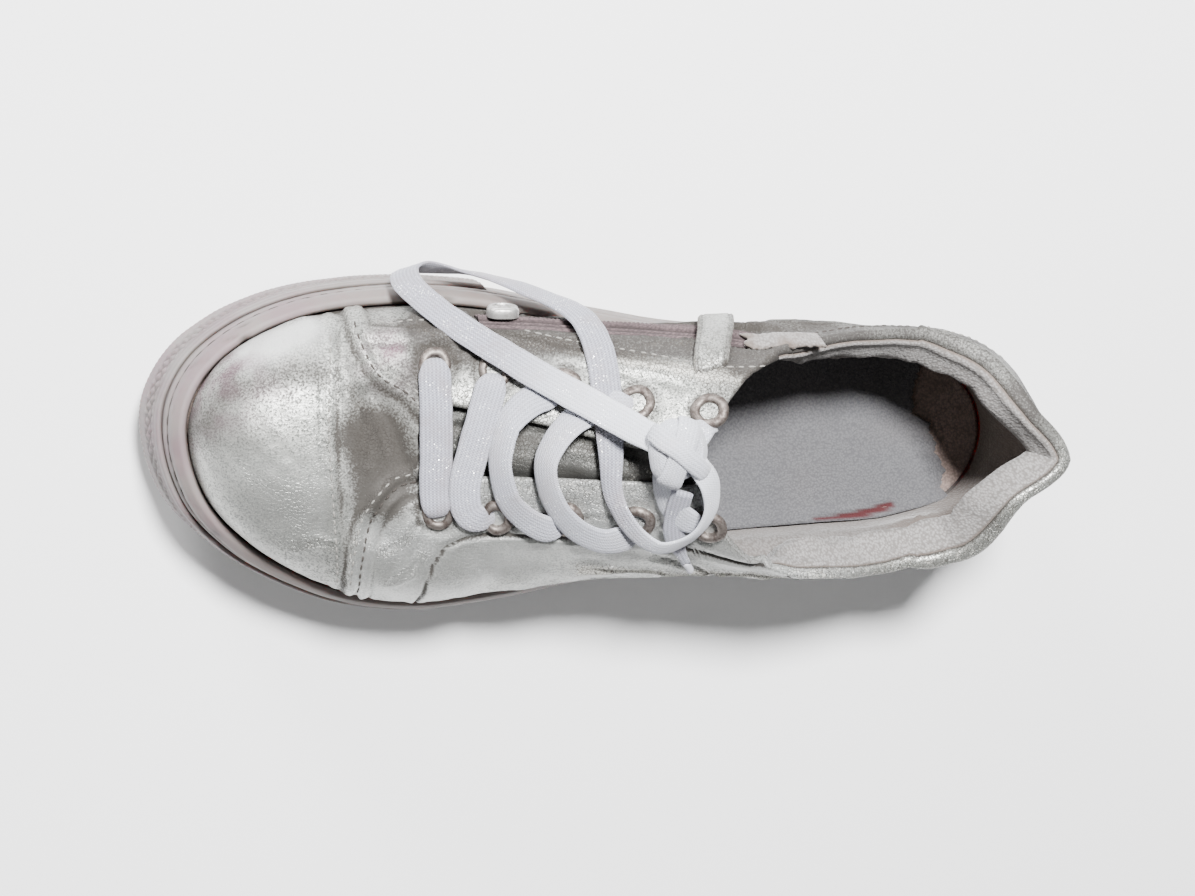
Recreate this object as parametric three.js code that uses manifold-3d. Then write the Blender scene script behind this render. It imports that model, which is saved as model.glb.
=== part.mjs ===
// Low flatform sneaker for the left foot: cup sole, hollow upper, tongue, zip, eyelets and flat laces.
// Millimetres. +X runs to the toe, +Y to the outer side of the foot, +Z up. The origin is on the floor,
// under the middle of the heel seat.
import * as THREE from "three";
import { mergeVertices } from "three/addons/utils/BufferGeometryUtils.js";
import Module from "manifold-3d";

const wasm = await Module();
wasm.setup();

// ---------------------------------------------------------------- driving dimensions
const GAP = 0.3; // between pieces that touch
const BEND_START = 135; // the sole is flat behind this, and curls up in front of it
const BEND_RADIUS = 400;

const OUTSOLE_THICK = 4;
const FLOOR_Z = 16; // the cup's floor, under the insole
const RIM_Z = 32; // the cup's upper edge
const RIM_THICK = 5;
const HEEL_RAKE = 8; // how far the sole's foot is tucked in under the heel
const INSOLE_THICK = 4;
const WALL = 2; // leather and lining together
const COLLAR_PAD = 4.5; // what the foam adds at the collar
const PAD_DEPTH = 24;

const SPINE_BACK = -6; // the ends of the line that the sections are built round
const SPINE_FRONT = 196;
const HEEL_RAYS = 9;
const TOE_RAYS = 10;

const BUMPER_BACK = 133;
const BUMPER_THICK = 1.8;
const BUMPER_LOW = 1;
const BUMPER_HIGH = 21.3;

const THROAT_FRONT = 165;
const THROAT_ROUND = 14; // how far back the throat's front end is round

const EYELETS = 5;
const EYELET_FIRST_X = 158;
const EYELET_PITCH = 19.8;
const EYELET_INSET = 11.5; // from the edge of the throat
const EYELET_OUTER_R = 4.8;
const EYELET_INNER_R = 2.6;
const EYELET_BARREL_R = 3.2;

const LACE_WIDTH = 8;
const LACE_THICK = 1.3;
const BAR_END = 2.4; // from the upper's outer face to the middle of a bar, at the eyelets
const BAR_MIDDLE = -0.5; // and over the middle of the tongue

// ---------------------------------------------------------------- curves
// A smooth curve through [x, value] points, held level beyond both ends.
function through(points) {
  const slope = points.map((p, i) => {
    const a = points[Math.max(i - 1, 0)];
    const b = points[Math.min(i + 1, points.length - 1)];
    return (b[1] - a[1]) / (b[0] - a[0]);
  });
  return (x) => {
    if (x <= points[0][0]) return points[0][1];
    const last = points.length - 1;
    if (x >= points[last][0]) return points[last][1];
    let i = 0;
    while (x > points[i + 1][0]) i++;
    const h = points[i + 1][0] - points[i][0];
    const t = (x - points[i][0]) / h;
    const t2 = t * t;
    const t3 = t2 * t;
    return (2 * t3 - 3 * t2 + 1) * points[i][1] + (t3 - 2 * t2 + t) * h * slope[i]
      + (3 * t2 - 2 * t3) * points[i + 1][1] + (t3 - t2) * h * slope[i + 1];
  };
}

function smoothstep(a, b, x) {
  const t = Math.min(Math.max((x - a) / (b - a), 0), 1);
  return t * t * (3 - 2 * t);
}

// The sole's outline at its widest, before the toe is curled up, from the heel round by the outer side.
const OUTLINE = [
  [-38, 0], [-34, 15], [-22, 28], [0, 34.5], [30, 36], [70, 38], [105, 42.5], [135, 47.5], [160, 49],
  [184, 45], [204, 36.5], [220, 26], [232, 13], [238, -3], [238, -17], [231, -30], [217, -40.5],
  [196, -48], [168, -51], [138, -49.5], [105, -43], [70, -36.5], [30, -34], [0, -33], [-22, -27], [-34, -15],
];
const outline = new THREE.CatmullRomCurve3(
  OUTLINE.map(([x, y]) => new THREE.Vector3(x, y, 0)), true, "centripetal",
).getSpacedPoints(360);

const spineY = through([[-6, 0], [60, -1], [98, -3], [130, -7], [160, -9.5], [196, -10]]);
// The ridge of the upper. Behind the throat it is the height that the open sides aim for.
const ridgeZ = through([
  [-6, 150], [30, 125], [60, 100], [80, 88], [98, 81], [120, 74], [141, 67.5], [155, 64], [167, 61.5],
  [180, 59], [196, 57.5],
]);
// How full a section is: low is round, high is square.
const fullness = through([[-6, 2.1], [60, 2.0], [110, 1.9], [150, 2.1], [196, 2.3]]);
// How far the worn sides swell out over the sole.
const swell = {
  lateral: through([[-38, 4], [0, 6.5], [40, 8], [70, 8], [105, 5], [135, 2], [165, 1]]),
  medial: through([
    [-38, 4], [-10, 9], [10, 12], [40, 13.5], [70, 12.5], [105, 8.5], [135, 4.5], [165, 1.5],
  ]),
};
const toplineZ = {
  lateral: through([
    [-38, 81], [-27, 80], [-14, 72], [-2, 65], [10, 63.5], [24, 66.5], [40, 71], [58, 76], [84, 88],
  ]),
  medial: through([
    [-38, 81], [-27, 80.5], [-14, 74], [-2, 67.5], [10, 66], [24, 69], [40, 73], [58, 77], [84, 88],
  ]),
};
const throatHalf = through([[58, 26], [68, 13], [78, 5.5], [88, 5.5], [102, 6], [125, 8.5], [155, 11.5]]);

// Curls the toe up: the sole rolls onto a circle in front of BEND_START.
function bend(p) {
  const turn = (p.x - BEND_START) / BEND_RADIUS;
  if (turn <= 0) return p.clone();
  return new THREE.Vector3(
    BEND_START + (BEND_RADIUS - p.z) * Math.sin(turn),
    p.y,
    BEND_RADIUS - (BEND_RADIUS - p.z) * Math.cos(turn),
  );
}

// ---------------------------------------------------------------- columns
// A column is a vertical half plane that starts on the spine. reach is how far the outline is along it.
function column(x, y, angle) {
  const foot = new THREE.Vector2(x, y);
  const way = new THREE.Vector2(Math.cos(angle), Math.sin(angle));
  let reach = 0;
  for (let i = 0; i + 1 < outline.length; i++) {
    const a = new THREE.Vector2(outline[i].x, outline[i].y).sub(foot);
    const b = new THREE.Vector2(outline[i + 1].x, outline[i + 1].y).sub(foot);
    const [ca, cb] = [way.cross(a), way.cross(b)];
    if (ca * cb > 0) continue;
    const t = ca === cb ? 0 : ca / (ca - cb);
    reach = Math.max(reach, way.dot(a.lerp(b, t)));
  }
  const side = Math.sin(angle) >= 0 ? "lateral" : "medial";
  return { foot, way, reach, side, along: x + way.x * reach };
}

const SIDE_STATIONS = [
  1, 9, 18, 28, 38, 47, 55, 62, 68, 73, 78, 83, 90, 98, 106, 115, 124, 133, 141, 148, 154, 159, 162.5,
  164.3, 165,
  170, 176, 182, 189,
];

function sideColumn(x, side) {
  return column(x, spineY(x), side === "lateral" ? Math.PI / 2 : -Math.PI / 2);
}

// All the columns, from the middle of the heel round by the outer side, the toe and the inner side.
function allColumns() {
  const columns = [];
  const heelTurn = Math.PI / 2 / (HEEL_RAYS / 2 + 0.5);
  const toeTurn = Math.PI / (TOE_RAYS - 1);
  const heelHalf = (HEEL_RAYS + 1) / 2;
  const heelRay = (angle) => column(SPINE_BACK, spineY(SPINE_BACK), angle);
  const toeRay = (angle) => column(SPINE_FRONT, spineY(SPINE_FRONT), angle);
  for (let i = 0; i < heelHalf; i++) columns.push(heelRay(Math.PI - i * heelTurn));
  for (const x of SIDE_STATIONS) columns.push(sideColumn(x, "lateral"));
  for (let i = 0; i < TOE_RAYS; i++) columns.push(toeRay(Math.PI / 2 - i * toeTurn));
  for (const x of [...SIDE_STATIONS].reverse()) columns.push(sideColumn(x, "medial"));
  for (let i = heelHalf - 1; i > 0; i--) columns.push(heelRay(Math.PI + i * heelTurn));
  return columns;
}
const columns = allColumns();

function place(c, out, z) {
  return new THREE.Vector3(c.foot.x + c.way.x * out, c.foot.y + c.way.y * out, z);
}

// ---------------------------------------------------------------- the last
const UPPER_LOW = FLOOR_Z + GAP;
const UPPER_INSET = RIM_THICK + GAP;
const SHOULDER_Z = RIM_Z + 1; // where the upper starts to curve in, just above the cup

// How far the upper's outer face is from the spine at height z.
function outAt(c, z) {
  const base = c.reach - UPPER_INSET;
  if (z <= SHOULDER_Z) return base;
  const x = c.foot.x;
  const rise = Math.min((z - SHOULDER_Z) / (ridgeZ(x) - SHOULDER_Z), 1);
  const power = fullness(x);
  const round = base * (1 - rise ** power) ** (1 / power);
  const nearHeel = smoothstep(8, -14, c.along) * Math.abs(Math.sin(2 * c.way.angle())) ** 1.5;
  const pinch = (c.side === "lateral" ? 9.5 : 6) * smoothstep(46, 80, z) * nearHeel;
  return round + swell[c.side](c.along) * smoothstep(SHOULDER_Z, 54, z) * (1 - rise ** 4) - pinch;
}

// The height at which the upper's outer face is that far from the spine.
function heightAt(c, out) {
  let [low, high] = [SHOULDER_Z + (ridgeZ(c.foot.x) - SHOULDER_Z) * 0.3, ridgeZ(c.foot.x)];
  for (let i = 0; i < 40; i++) {
    const middle = (low + high) / 2;
    if (outAt(c, middle) > out) low = middle;
    else high = middle;
  }
  return (low + high) / 2;
}

// Half the width of the throat, which is nought in front of it.
function openHalf(x) {
  if (x >= THROAT_FRONT) return 0;
  const into = Math.min((THROAT_FRONT - x) / THROAT_ROUND, 1);
  return throatHalf(x) * Math.sqrt(1 - (1 - into) ** 2);
}

// The height of the upper's free edge on a column.
function edgeZ(c) {
  const top = toplineZ[c.side](c.along);
  if (c.foot.x <= SPINE_BACK) return top;
  const half = openHalf(c.foot.x);
  const throat = half > 0 ? heightAt(c, half) : ridgeZ(c.foot.x);
  return c.foot.x > 90 ? throat : Math.min(top, throat);
}

// ---------------------------------------------------------------- meshes from rows of points
function geometryOf(points, triangles) {
  const flat = new Float32Array(triangles.flatMap((t) => t.flatMap((i) => points[i].toArray())));
  const loose = new THREE.BufferGeometry().setAttribute("position", new THREE.BufferAttribute(flat, 3));
  return mergeVertices(loose, 1e-4);
}

// A BufferGeometry as a manifold-3d solid, without the triangles that have collapsed.
function solidOf(geometry) {
  const bare = geometry.clone();
  bare.deleteAttribute("normal");
  bare.deleteAttribute("uv");
  const merged = mergeVertices(bare, 1e-4);
  const index = merged.index.array;
  const kept = [];
  for (let i = 0; i < index.length; i += 3) {
    const [a, b, c] = [index[i], index[i + 1], index[i + 2]];
    if (a !== b && b !== c && a !== c) kept.push(a, b, c);
  }
  return new wasm.Manifold(new wasm.Mesh({
    numProp: 3, vertProperties: merged.attributes.position.array, triVerts: new Uint32Array(kept),
  }));
}

function geometryFrom(solid) {
  const m = solid.getMesh();
  const g = new THREE.BufferGeometry();
  g.setAttribute("position", new THREE.BufferAttribute(new Float32Array(m.vertProperties), 3));
  g.setIndex(new THREE.BufferAttribute(new Uint32Array(m.triVerts), 1));
  return g;
}

function bent(geometry) {
  const g = geometry.clone();
  const position = g.attributes.position;
  for (let i = 0; i < position.count; i++) {
    const p = bend(new THREE.Vector3().fromBufferAttribute(position, i));
    position.setXYZ(i, p.x, p.y, p.z);
  }
  return g;
}

// rows[r][c] are points. Each row joins the next, and columns run round when closed. A strip has capped ends.
function joined(rows, options = {}) {
  const { aroundRows = false, aroundColumns = true, capped = false, skip = () => false } = options;
  const [nr, nc] = [rows.length, rows[0].length];
  const at = (r, c) => (r % nr) * nc + (c % nc);
  const triangles = [];
  for (let r = 0; r < (aroundRows ? nr : nr - 1); r++) {
    for (let c = 0; c < (aroundColumns ? nc : nc - 1); c++) {
      if (skip(r, c)) continue;
      const [a, b, d, e] = [at(r, c), at(r, c + 1), at(r + 1, c + 1), at(r + 1, c)];
      triangles.push([a, b, d], [a, d, e]);
    }
  }
  if (capped) {
    for (let r = 1; r + 1 < nr; r++) {
      triangles.push([at(0, 0), at(r, 0), at(r + 1, 0)], [at(0, nc - 1), at(r + 1, nc - 1), at(r, nc - 1)]);
    }
  }
  return geometryOf(rows.flat(), triangles);
}

// A solid of revolution's cousin: a profile of [inset, z] carried round the outline, closed on the spine.
function roundOutline(profile) {
  const rows = profile.map(([inset, z]) => columns.map((c) => {
    const rake = HEEL_RAKE * smoothstep(-8, -38, c.along) * (1 - z / RIM_Z) ** 2;
    return place(c, inset === "spine" ? 0 : c.reach - inset - (inset < RIM_THICK ? rake : 0), z);
  }));
  return joined(rows);
}

// ---------------------------------------------------------------- sole
const FLAT_SPOTS = [[-9, 9], [104, 126]]; // without grooves, so that the shoe rests on them
const GROOVE_DEEP = 1.6;
const GROOVE_WIDE = 2.6;
const GROOVE_PITCH = 11;
const GROOVES_FROM = -26;
const GROOVES_TO = 214;
const GROOVE_MARGIN = 8; // from a groove's end to the outline

// Half the length of the groove at x: it stops short of the outline, which is round at the heel and the toe.
function grooveHalf(x) {
  const side = sideColumn(Math.min(Math.max(x, 0), SPINE_FRONT), "lateral").reach;
  const toe = 48 - Math.max(0, x - SPINE_FRONT) * 1.1;
  const heel = x < 0 ? 26 + x * 0.35 : side;
  return Math.min(side, toe, heel) - GROOVE_MARGIN;
}

function outsole() {
  const body = solidOf(roundOutline([
    ["spine", OUTSOLE_THICK], [14, OUTSOLE_THICK], [0.4, OUTSOLE_THICK], [0, OUTSOLE_THICK - 0.8], [0, 1.4],
    [1.2, 0], [14, 0], ["spine", 0],
  ]));
  let cut = body;
  for (let x = GROOVES_FROM; x < GROOVES_TO; x += GROOVE_PITCH) {
    if (FLAT_SPOTS.some(([from, to]) => x + GROOVE_WIDE > from && x < to)) continue;
    const wide = grooveHalf(x);
    const bar = new THREE.BoxGeometry(GROOVE_WIDE, wide * 2, GROOVE_DEEP * 2);
    bar.translate(x + GROOVE_WIDE / 2, spineY(x), 0);
    cut = cut.subtract(solidOf(bar));
  }
  return bent(geometryFrom(cut));
}

function midsole() {
  const low = OUTSOLE_THICK + GAP;
  return bent(roundOutline([
    ["spine", FLOOR_Z], [RIM_THICK, FLOOR_Z], [RIM_THICK, RIM_Z - 1], [RIM_THICK - 0.8, RIM_Z], [2.9, RIM_Z],
    [1.4, RIM_Z - 1.4], [0.5, RIM_Z - 5], [0, 22], [0, low + 1], [0.4, low], [14, low], ["spine", low],
  ]));
}

function insole() {
  const [low, edge] = [FLOOR_Z + GAP, UPPER_INSET + WALL + GAP + 0.2];
  const high = low + INSOLE_THICK;
  return bent(roundOutline([
    ["spine", high], [edge + 6, high], [edge + 0.6, high + 0.4], [edge, high - 0.6], [edge, low],
    ["spine", low],
  ]));
}

// The rubber band that is wrapped round the toe, outside the sole's wall.
function toeBumper() {
  const first = columns.findIndex((c) => c.foot.x >= BUMPER_BACK && c.side === "lateral");
  const last = columns.findLastIndex((c) => c.foot.x >= BUMPER_BACK);
  const wrapped = columns.slice(first, last + 1);
  const face = [
    [-GAP, BUMPER_LOW + 1.2], [-GAP - 0.8, BUMPER_LOW], [-BUMPER_THICK, BUMPER_LOW + 1],
    [-BUMPER_THICK, 13], [-BUMPER_THICK + 0.1, BUMPER_HIGH - 2], [-GAP - 0.7, BUMPER_HIGH],
    [-GAP, BUMPER_HIGH - 0.4], [-GAP, 14],
  ];
  const rows = face.map(([inset, z]) => wrapped.map((c) => place(c, c.reach - inset, z)));
  return bent(joined(rows.reverse(), { aroundRows: true, aroundColumns: false, capped: true }));
}

// ---------------------------------------------------------------- upper
const FACE_STEPS = 8; // rows above the cup on the upper's outer face

// The height of row k of a column's outer face, 0 at the cup and FACE_STEPS at the free edge.
function faceZ(c, k) {
  const top = edgeZ(c);
  const closed = top >= ridgeZ(c.foot.x) - 1e-6;
  const share = k / FACE_STEPS;
  return SHOULDER_Z + (top - SHOULDER_Z) * (closed ? Math.sin((share * Math.PI) / 2) : share);
}

// Foam thickens the wall near the collar, but not along the throat.
function wallThick(c, z) {
  const fromEdge = edgeZ(c) - z;
  const pad = smoothstep(PAD_DEPTH, 6, fromEdge) * (1 - 0.45 * smoothstep(6, 0, fromEdge));
  const nearHeel = 1 + 0.5 * smoothstep(20, -4, c.along) * smoothstep(-36, -20, c.along);
  return WALL + COLLAR_PAD * nearHeel * pad * (1 - smoothstep(48, 70, c.foot.x));
}

const isClosed = (c) => c.foot.x >= THROAT_FRONT;

function facePoint(c, k) {
  if (k === FACE_STEPS && isClosed(c)) return place(c, 0, ridgeZ(c.foot.x));
  return place(c, outAt(c, faceZ(c, k)), faceZ(c, k));
}

// Outward normals of rows of points that run round the shoe. Points that coincide share theirs.
function rowNormals(rows) {
  const keyOf = (p) => p.toArray().map((v) => Math.round(v * 1000)).join();
  const sums = new Map(rows.flat().map((p) => [keyOf(p), new THREE.Vector3()]));
  for (let r = 0; r + 1 < rows.length; r++) {
    rows[r].forEach((a, i) => {
      const next = (i + 1) % rows[r].length;
      const [b, c, d] = [rows[r][next], rows[r + 1][next], rows[r + 1][i]];
      const normal = c.clone().sub(a).cross(b.clone().sub(d));
      for (const p of [a, b, c, d]) sums.get(keyOf(p)).add(normal);
    });
  }
  return rows.map((row) => row.map((p) => sums.get(keyOf(p)).clone().normalize()));
}

function upperShell() {
  const faceRows = [columns.map((c) => place(c, outAt(c, 0), UPPER_LOW))];
  const thick = [columns.map(() => WALL)];
  for (let k = 0; k <= FACE_STEPS; k++) {
    faceRows.push(columns.map((c) => facePoint(c, k)));
    thick.push(columns.map((c) => wallThick(c, faceZ(c, k))));
  }
  const normals = rowNormals(faceRows);
  const innerRows = faceRows.map((row, r) => row.map((p, i) => {
    const normal = normals[r][i];
    if (r < 2) normal.setZ(0).normalize();
    return p.clone().addScaledVector(normal, -thick[r][i]);
  }));
  // The free edge is round: one row stands above the middle of the wall.
  const last = faceRows.length - 1;
  const edgeRow = faceRows[last].map((p, i) => {
    const up = p.clone().sub(faceRows[last - 1][i]).normalize();
    return p.clone().lerp(innerRows[last][i], 0.5)
      .addScaledVector(up, isClosed(columns[i]) ? 0 : thick[last][i] * 0.35);
  });
  const rows = [...innerRows, edgeRow, ...faceRows.toReversed()];
  const skip = (r, i) => (r === last || r === last + 1)
    && isClosed(columns[i]) && isClosed(columns[(i + 1) % columns.length]);
  return solidOf(joined(rows, { aroundRows: true, skip }));
}

// A point of the upper's outer face on one side, lifted along the face's normal.
function onFace(x, z, side, lift = 0) {
  const step = 0.5;
  const at = (dx, dz) => {
    const c = sideColumn(x + dx, side);
    return place(c, outAt(c, z + dz), z + dz);
  };
  const p = at(0, 0);
  const normal = at(step, 0).sub(at(-step, 0)).cross(at(0, step).sub(at(0, -step))).normalize();
  if (side === "lateral") normal.negate();
  return p.addScaledVector(normal, lift);
}

function throatEdge(x, side, back) {
  return heightAt(sideColumn(x, side), openHalf(x) + back);
}

// A patch of the face between two heights, from lift low to lift high.
function patch({ xs, zLow, zHigh, side, low, high, across = 4 }) {
  const ring = (x) => {
    const [a, b] = [zLow(x), zHigh(x)];
    const steps = Array.from({ length: across + 1 }, (_, i) => a + ((b - a) * i) / across);
    return [
      ...steps.map((z) => onFace(x, z, side, high)),
      ...[...steps].reverse().map((z) => onFace(x, z, side, low)),
    ];
  };
  const rings = xs.map(ring);
  const rows = rings[0].map((_, r) => rings.map((points) => points[r]));
  const solid = stripSolid(rows);
  return solid;
}

// A closed strip: rows run round the section, columns along it, and the ends are capped.
function stripSolid(rows) {
  const made = solidOf(joined(rows, { aroundRows: true, aroundColumns: false, capped: true }));
  if (made.volume() > 0) return made;
  return solidOf(joined([...rows].reverse(), { aroundRows: true, aroundColumns: false, capped: true }));
}

function range(from, to, steps) {
  return Array.from({ length: steps + 1 }, (_, i) => from + ((to - from) * i) / steps);
}

// ---------------------------------------------------------------- zip on the inner side
const ZIP_FRONT = 141;
const ZIP_BACK = 66;
const ZIP_WIDE = 11;
const zipMiddle = through([[58, 69], [66, 63.5], [80, 57], [105, 52], [141, 47.5]]);
const zipHigh = (x) => zipMiddle(x) + ZIP_WIDE / 2;
const zipLow = (x) => zipMiddle(x) - ZIP_WIDE / 2;

function zipTape(grow = 0) {
  return patch({
    xs: range(ZIP_BACK - grow, ZIP_FRONT + grow, 12), side: "medial", across: 2,
    zLow: (x) => zipLow(x) - grow, zHigh: (x) => zipHigh(x) + grow,
    low: grow ? -WALL - 3 : -WALL + 0.2, high: grow ? 4 : -0.2,
  });
}

// A frame whose +Z is the face's normal and whose +X runs towards the toe.
function faceFrame(x, z, side, lift) {
  const origin = onFace(x, z, side, lift);
  const normal = onFace(x, z, side, 1).sub(onFace(x, z, side, 0)).normalize();
  const along = onFace(x + 1, z, side, 0).sub(onFace(x - 1, z, side, 0)).normalize();
  const across = normal.clone().cross(along).normalize();
  return new THREE.Matrix4().makeBasis(across.clone().cross(normal), across, normal).setPosition(origin);
}

function roundedRectangle(long, wide, radius) {
  const [x, y] = [long / 2, wide / 2];
  const shape = new THREE.Shape();
  shape.moveTo(-x + radius, -y);
  shape.lineTo(x - radius, -y);
  shape.absarc(x - radius, -y + radius, radius, -Math.PI / 2, 0);
  shape.lineTo(x, y - radius);
  shape.absarc(x - radius, y - radius, radius, 0, Math.PI / 2);
  shape.lineTo(-x + radius, y);
  shape.absarc(-x + radius, y - radius, radius, Math.PI / 2, Math.PI);
  shape.lineTo(-x, -y + radius);
  shape.absarc(-x + radius, -y + radius, radius, Math.PI, Math.PI * 1.5);
  return shape;
}

const SLIDER = { long: 10, wide: 7, round: 2.6, high: 2.4, lift: GAP + 0.4 };
const SLIDER_EYE = { long: 3.4, wide: 2, round: 0.95, forward: 0.6, floor: 1 };

function roundedPlate({ long, wide, round }, depth, curveSegments) {
  const plate = roundedRectangle(long, wide, round);
  return new THREE.ExtrudeGeometry(plate, { depth, bevelEnabled: false, curveSegments });
}

// The slider is a plate on the teeth, which has an oval eye sunk in it.
function zipSlider() {
  const x = ZIP_FRONT - 8;
  const plate = roundedPlate(SLIDER, SLIDER.high, 5);
  const eye = roundedPlate(SLIDER_EYE, SLIDER.high, 4).translate(SLIDER_EYE.forward, 0, SLIDER_EYE.floor);
  const frame = faceFrame(x, zipMiddle(x), "medial", SLIDER.lift);
  return bent(geometryFrom(solidOf(plate).subtract(solidOf(eye))).applyMatrix4(frame));
}

const TAB_X = 72;
const TAB_WIDE = 10.5;

function zipTab() {
  return bent(geometryFrom(patch({
    xs: range(TAB_X - TAB_WIDE / 2, TAB_X + TAB_WIDE / 2, 4), side: "medial", across: 6,
    zLow: (x) => 52 + 0.12 * (x - TAB_X) ** 2, zHigh: () => 75,
    low: 1.2, high: 2.8,
  })));
}

// ---------------------------------------------------------------- eyelets, tongue and laces
const eyeletPlaces = Array.from({ length: EYELETS }, (_, i) => EYELET_FIRST_X - i * EYELET_PITCH)
  .flatMap((x, i) => ["lateral", "medial"].map((side) => ({ x, side, name: `eyelet_${side}_${i + 1}` })));

function eyeletFrame({ x, side }) {
  return faceFrame(x, throatEdge(x, side, EYELET_INSET), side, 0);
}

function eyeletRing(spot) {
  const profile = [
    [EYELET_INNER_R, -WALL - 0.6], [EYELET_BARREL_R - 0.2, -WALL - 0.6], [EYELET_BARREL_R - 0.2, GAP],
    [EYELET_OUTER_R, GAP], [EYELET_OUTER_R - 0.4, GAP + 0.8], [EYELET_INNER_R + 0.5, GAP + 1.1],
    [EYELET_INNER_R, GAP + 0.6],
    [EYELET_INNER_R, -WALL - 0.6],
  ].map(([r, z]) => new THREE.Vector2(r, z));
  const ring = new THREE.LatheGeometry(profile, 10).rotateX(Math.PI / 2);
  return bent(ring.applyMatrix4(eyeletFrame(spot)));
}

function eyeletHole(spot) {
  const radius = EYELET_BARREL_R + 0.1;
  const hole = new THREE.CylinderGeometry(radius, radius, 12, 10).rotateX(Math.PI / 2);
  return solidOf(hole.applyMatrix4(eyeletFrame(spot)));
}

function upper() {
  let solid = upperShell();
  for (const spot of eyeletPlaces) solid = solid.subtract(eyeletHole(spot));
  return bent(geometryFrom(solid.subtract(zipTape(GAP + 0.1))));
}

// The surface that the tongue and lace bars follow, carried on over the throat: a place, the way along the
// foot and the way out.
function overThroat(x, y) {
  const at = (x, y) => {
    const c = sideColumn(x, y >= 0 ? "lateral" : "medial");
    return new THREE.Vector3(x, spineY(x) + y, heightAt(c, Math.max(Math.abs(y), 0.5)));
  };
  const along = at(x + 1, y).sub(at(x - 1, y)).normalize();
  const sideways = at(x, y + 1).sub(at(x, y - 1));
  return { at: at(x, y), along, out: along.clone().cross(sideways).normalize() };
}

const TONGUE_FRONT = 176;
const TONGUE_BACK = 84;
const TONGUE_HALF = 22;
const TONGUE_DROP = 3.4; // from the upper's outer face to the tongue's

function tongue() {
  const [thick, across] = [2.2, 8];
  const xs = range(TONGUE_BACK, TONGUE_FRONT, 13);
  const surface = (x, y, down) => {
    const swell = 0.9 * smoothstep(0, 14, THROAT_FRONT - x) * smoothstep(12, 3, Math.abs(y));
    const { at, out } = overThroat(x, y);
    return at.addScaledVector(out, swell - TONGUE_DROP - down);
  };
  const half = (x) => TONGUE_HALF * (1 - 0.3 * smoothstep(TONGUE_BACK + 14, TONGUE_BACK, x) ** 2);
  const ring = (x) => {
    const ys = range(-half(x), half(x), across);
    return [...ys.map((y) => surface(x, y, 0)), ...[...ys].reverse().map((y) => surface(x, y, thick))];
  };
  const rings = xs.map(ring);
  return bent(geometryFrom(stripSolid(rings[0].map((_, r) => rings.map((points) => points[r])))));
}

// A flat strip of lace: at each point a place, the way across it and the way out of its face.
function laceStrip(stations, wide = LACE_WIDTH, thick = LACE_THICK) {
  const rings = stations.map(({ at, across, out, width = wide }) => [
    [-width / 2, 0], [-width * 0.36, thick / 2], [width * 0.36, thick / 2], [width / 2, 0],
    [width * 0.36, -thick / 2], [-width * 0.36, -thick / 2],
  ].map(([a, o]) => at.clone().addScaledVector(across, a).addScaledVector(out, o)));
  return stripSolid(rings[0].map((_, r) => rings.map((points) => points[r])));
}

// A bar crosses the throat between the two eyelets of a pair: over their rims, and down on to the tongue.
function laceBar(i) {
  const x = EYELET_FIRST_X - i * EYELET_PITCH;
  const reach = openHalf(x) + EYELET_INSET;
  const stations = range(-1, 1, 10).map((s) => {
    const { at, along: across, out } = overThroat(x, s * reach);
    at.addScaledVector(out, BAR_MIDDLE + (BAR_END - BAR_MIDDLE) * smoothstep(0, 0.7, Math.abs(s)));
    return { at, across, out, width: LACE_WIDTH * (1 - 0.35 * Math.abs(s) ** 6) };
  });
  return bent(geometryFrom(laceStrip(stations)));
}

// The bow's one long loop. It leaves the knot, lies over the inner eyestay, turns beside the sole's edge and
// comes back over the zip and round the outer eyestay.
const LOOP_ROUTE = [
  [95.6, -11.4, 92.6], [103, -15.5, 86], [111, -20, 80], [119, -24.5, 76], [127, -29, 71], [135, -34, 65.5],
  [143, -39, 59.5], [150, -44, 53], [156, -49, 46], [160, -53.5, 39], [159.5, -56.2, 33], [154, -57, 29],
  [146, -56, 28.5], [137, -54.5, 30], [128, -52, 34], [120, -48.8, 40.5], [114, -46.3, 48.5],
  [110, -43, 56.5],
  [107.8, -37, 64], [107, -29, 70.6], [107, -20, 75.6], [107, -12, 78.6], [107, -4, 80], [106.5, 4, 79.6],
  [104, 11, 81], [99, 17.5, 81.4], [93, 21, 82.6], [87.5, 19.5, 84.6], [83, 15.5, 87.8], [80.4, 10, 90.4],
  [80.4, 4.4, 92.4],
];
const TIP_ROUTE = [
  [88.6, 3.4, 90.6], [88.9, 8, 87], [89, 12, 84.1], [88.6, 16, 81.6], [87.4, 20, 79], [85.4, 24, 76.6],
  [82.8, 28, 73.8],
];
const KNOT = { at: [88, -7, 94], half: [7, 9, 4.4] };
const CORD_R = 1.5;

function cordTube(route) {
  const path = new THREE.CatmullRomCurve3(route.map((p) => new THREE.Vector3(...p)), false, "centripetal");
  const circle = new THREE.EllipseCurve(0, 0, CORD_R, CORD_R, 0, Math.PI * 2).getPoints(7);
  const section = new THREE.Shape(circle.slice(0, 7));
  const steps = Math.round(path.getLength() / (CORD_R * 5));
  return new THREE.ExtrudeGeometry(section, { extrudePath: path, steps });
}

function laceKnot() {
  return new THREE.SphereGeometry(1, 12, 8).scale(...KNOT.half).translate(...KNOT.at);
}

// ---------------------------------------------------------------- materials and assembly
function finish(color, roughness, metalness) {
  return new THREE.MeshStandardMaterial({ color, roughness, metalness });
}
const silver = finish(0xa9aca6, 0.42, 0.55);
const rubber = finish(0xe4e0da, 0.6, 0);
const cloth = finish(0xd9d6d6, 0.9, 0);
const metal = finish(0x8f8d88, 0.35, 0.9);
const tape = finish(0x8f8487, 0.85, 0);

const shoe = new THREE.Group();

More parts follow.
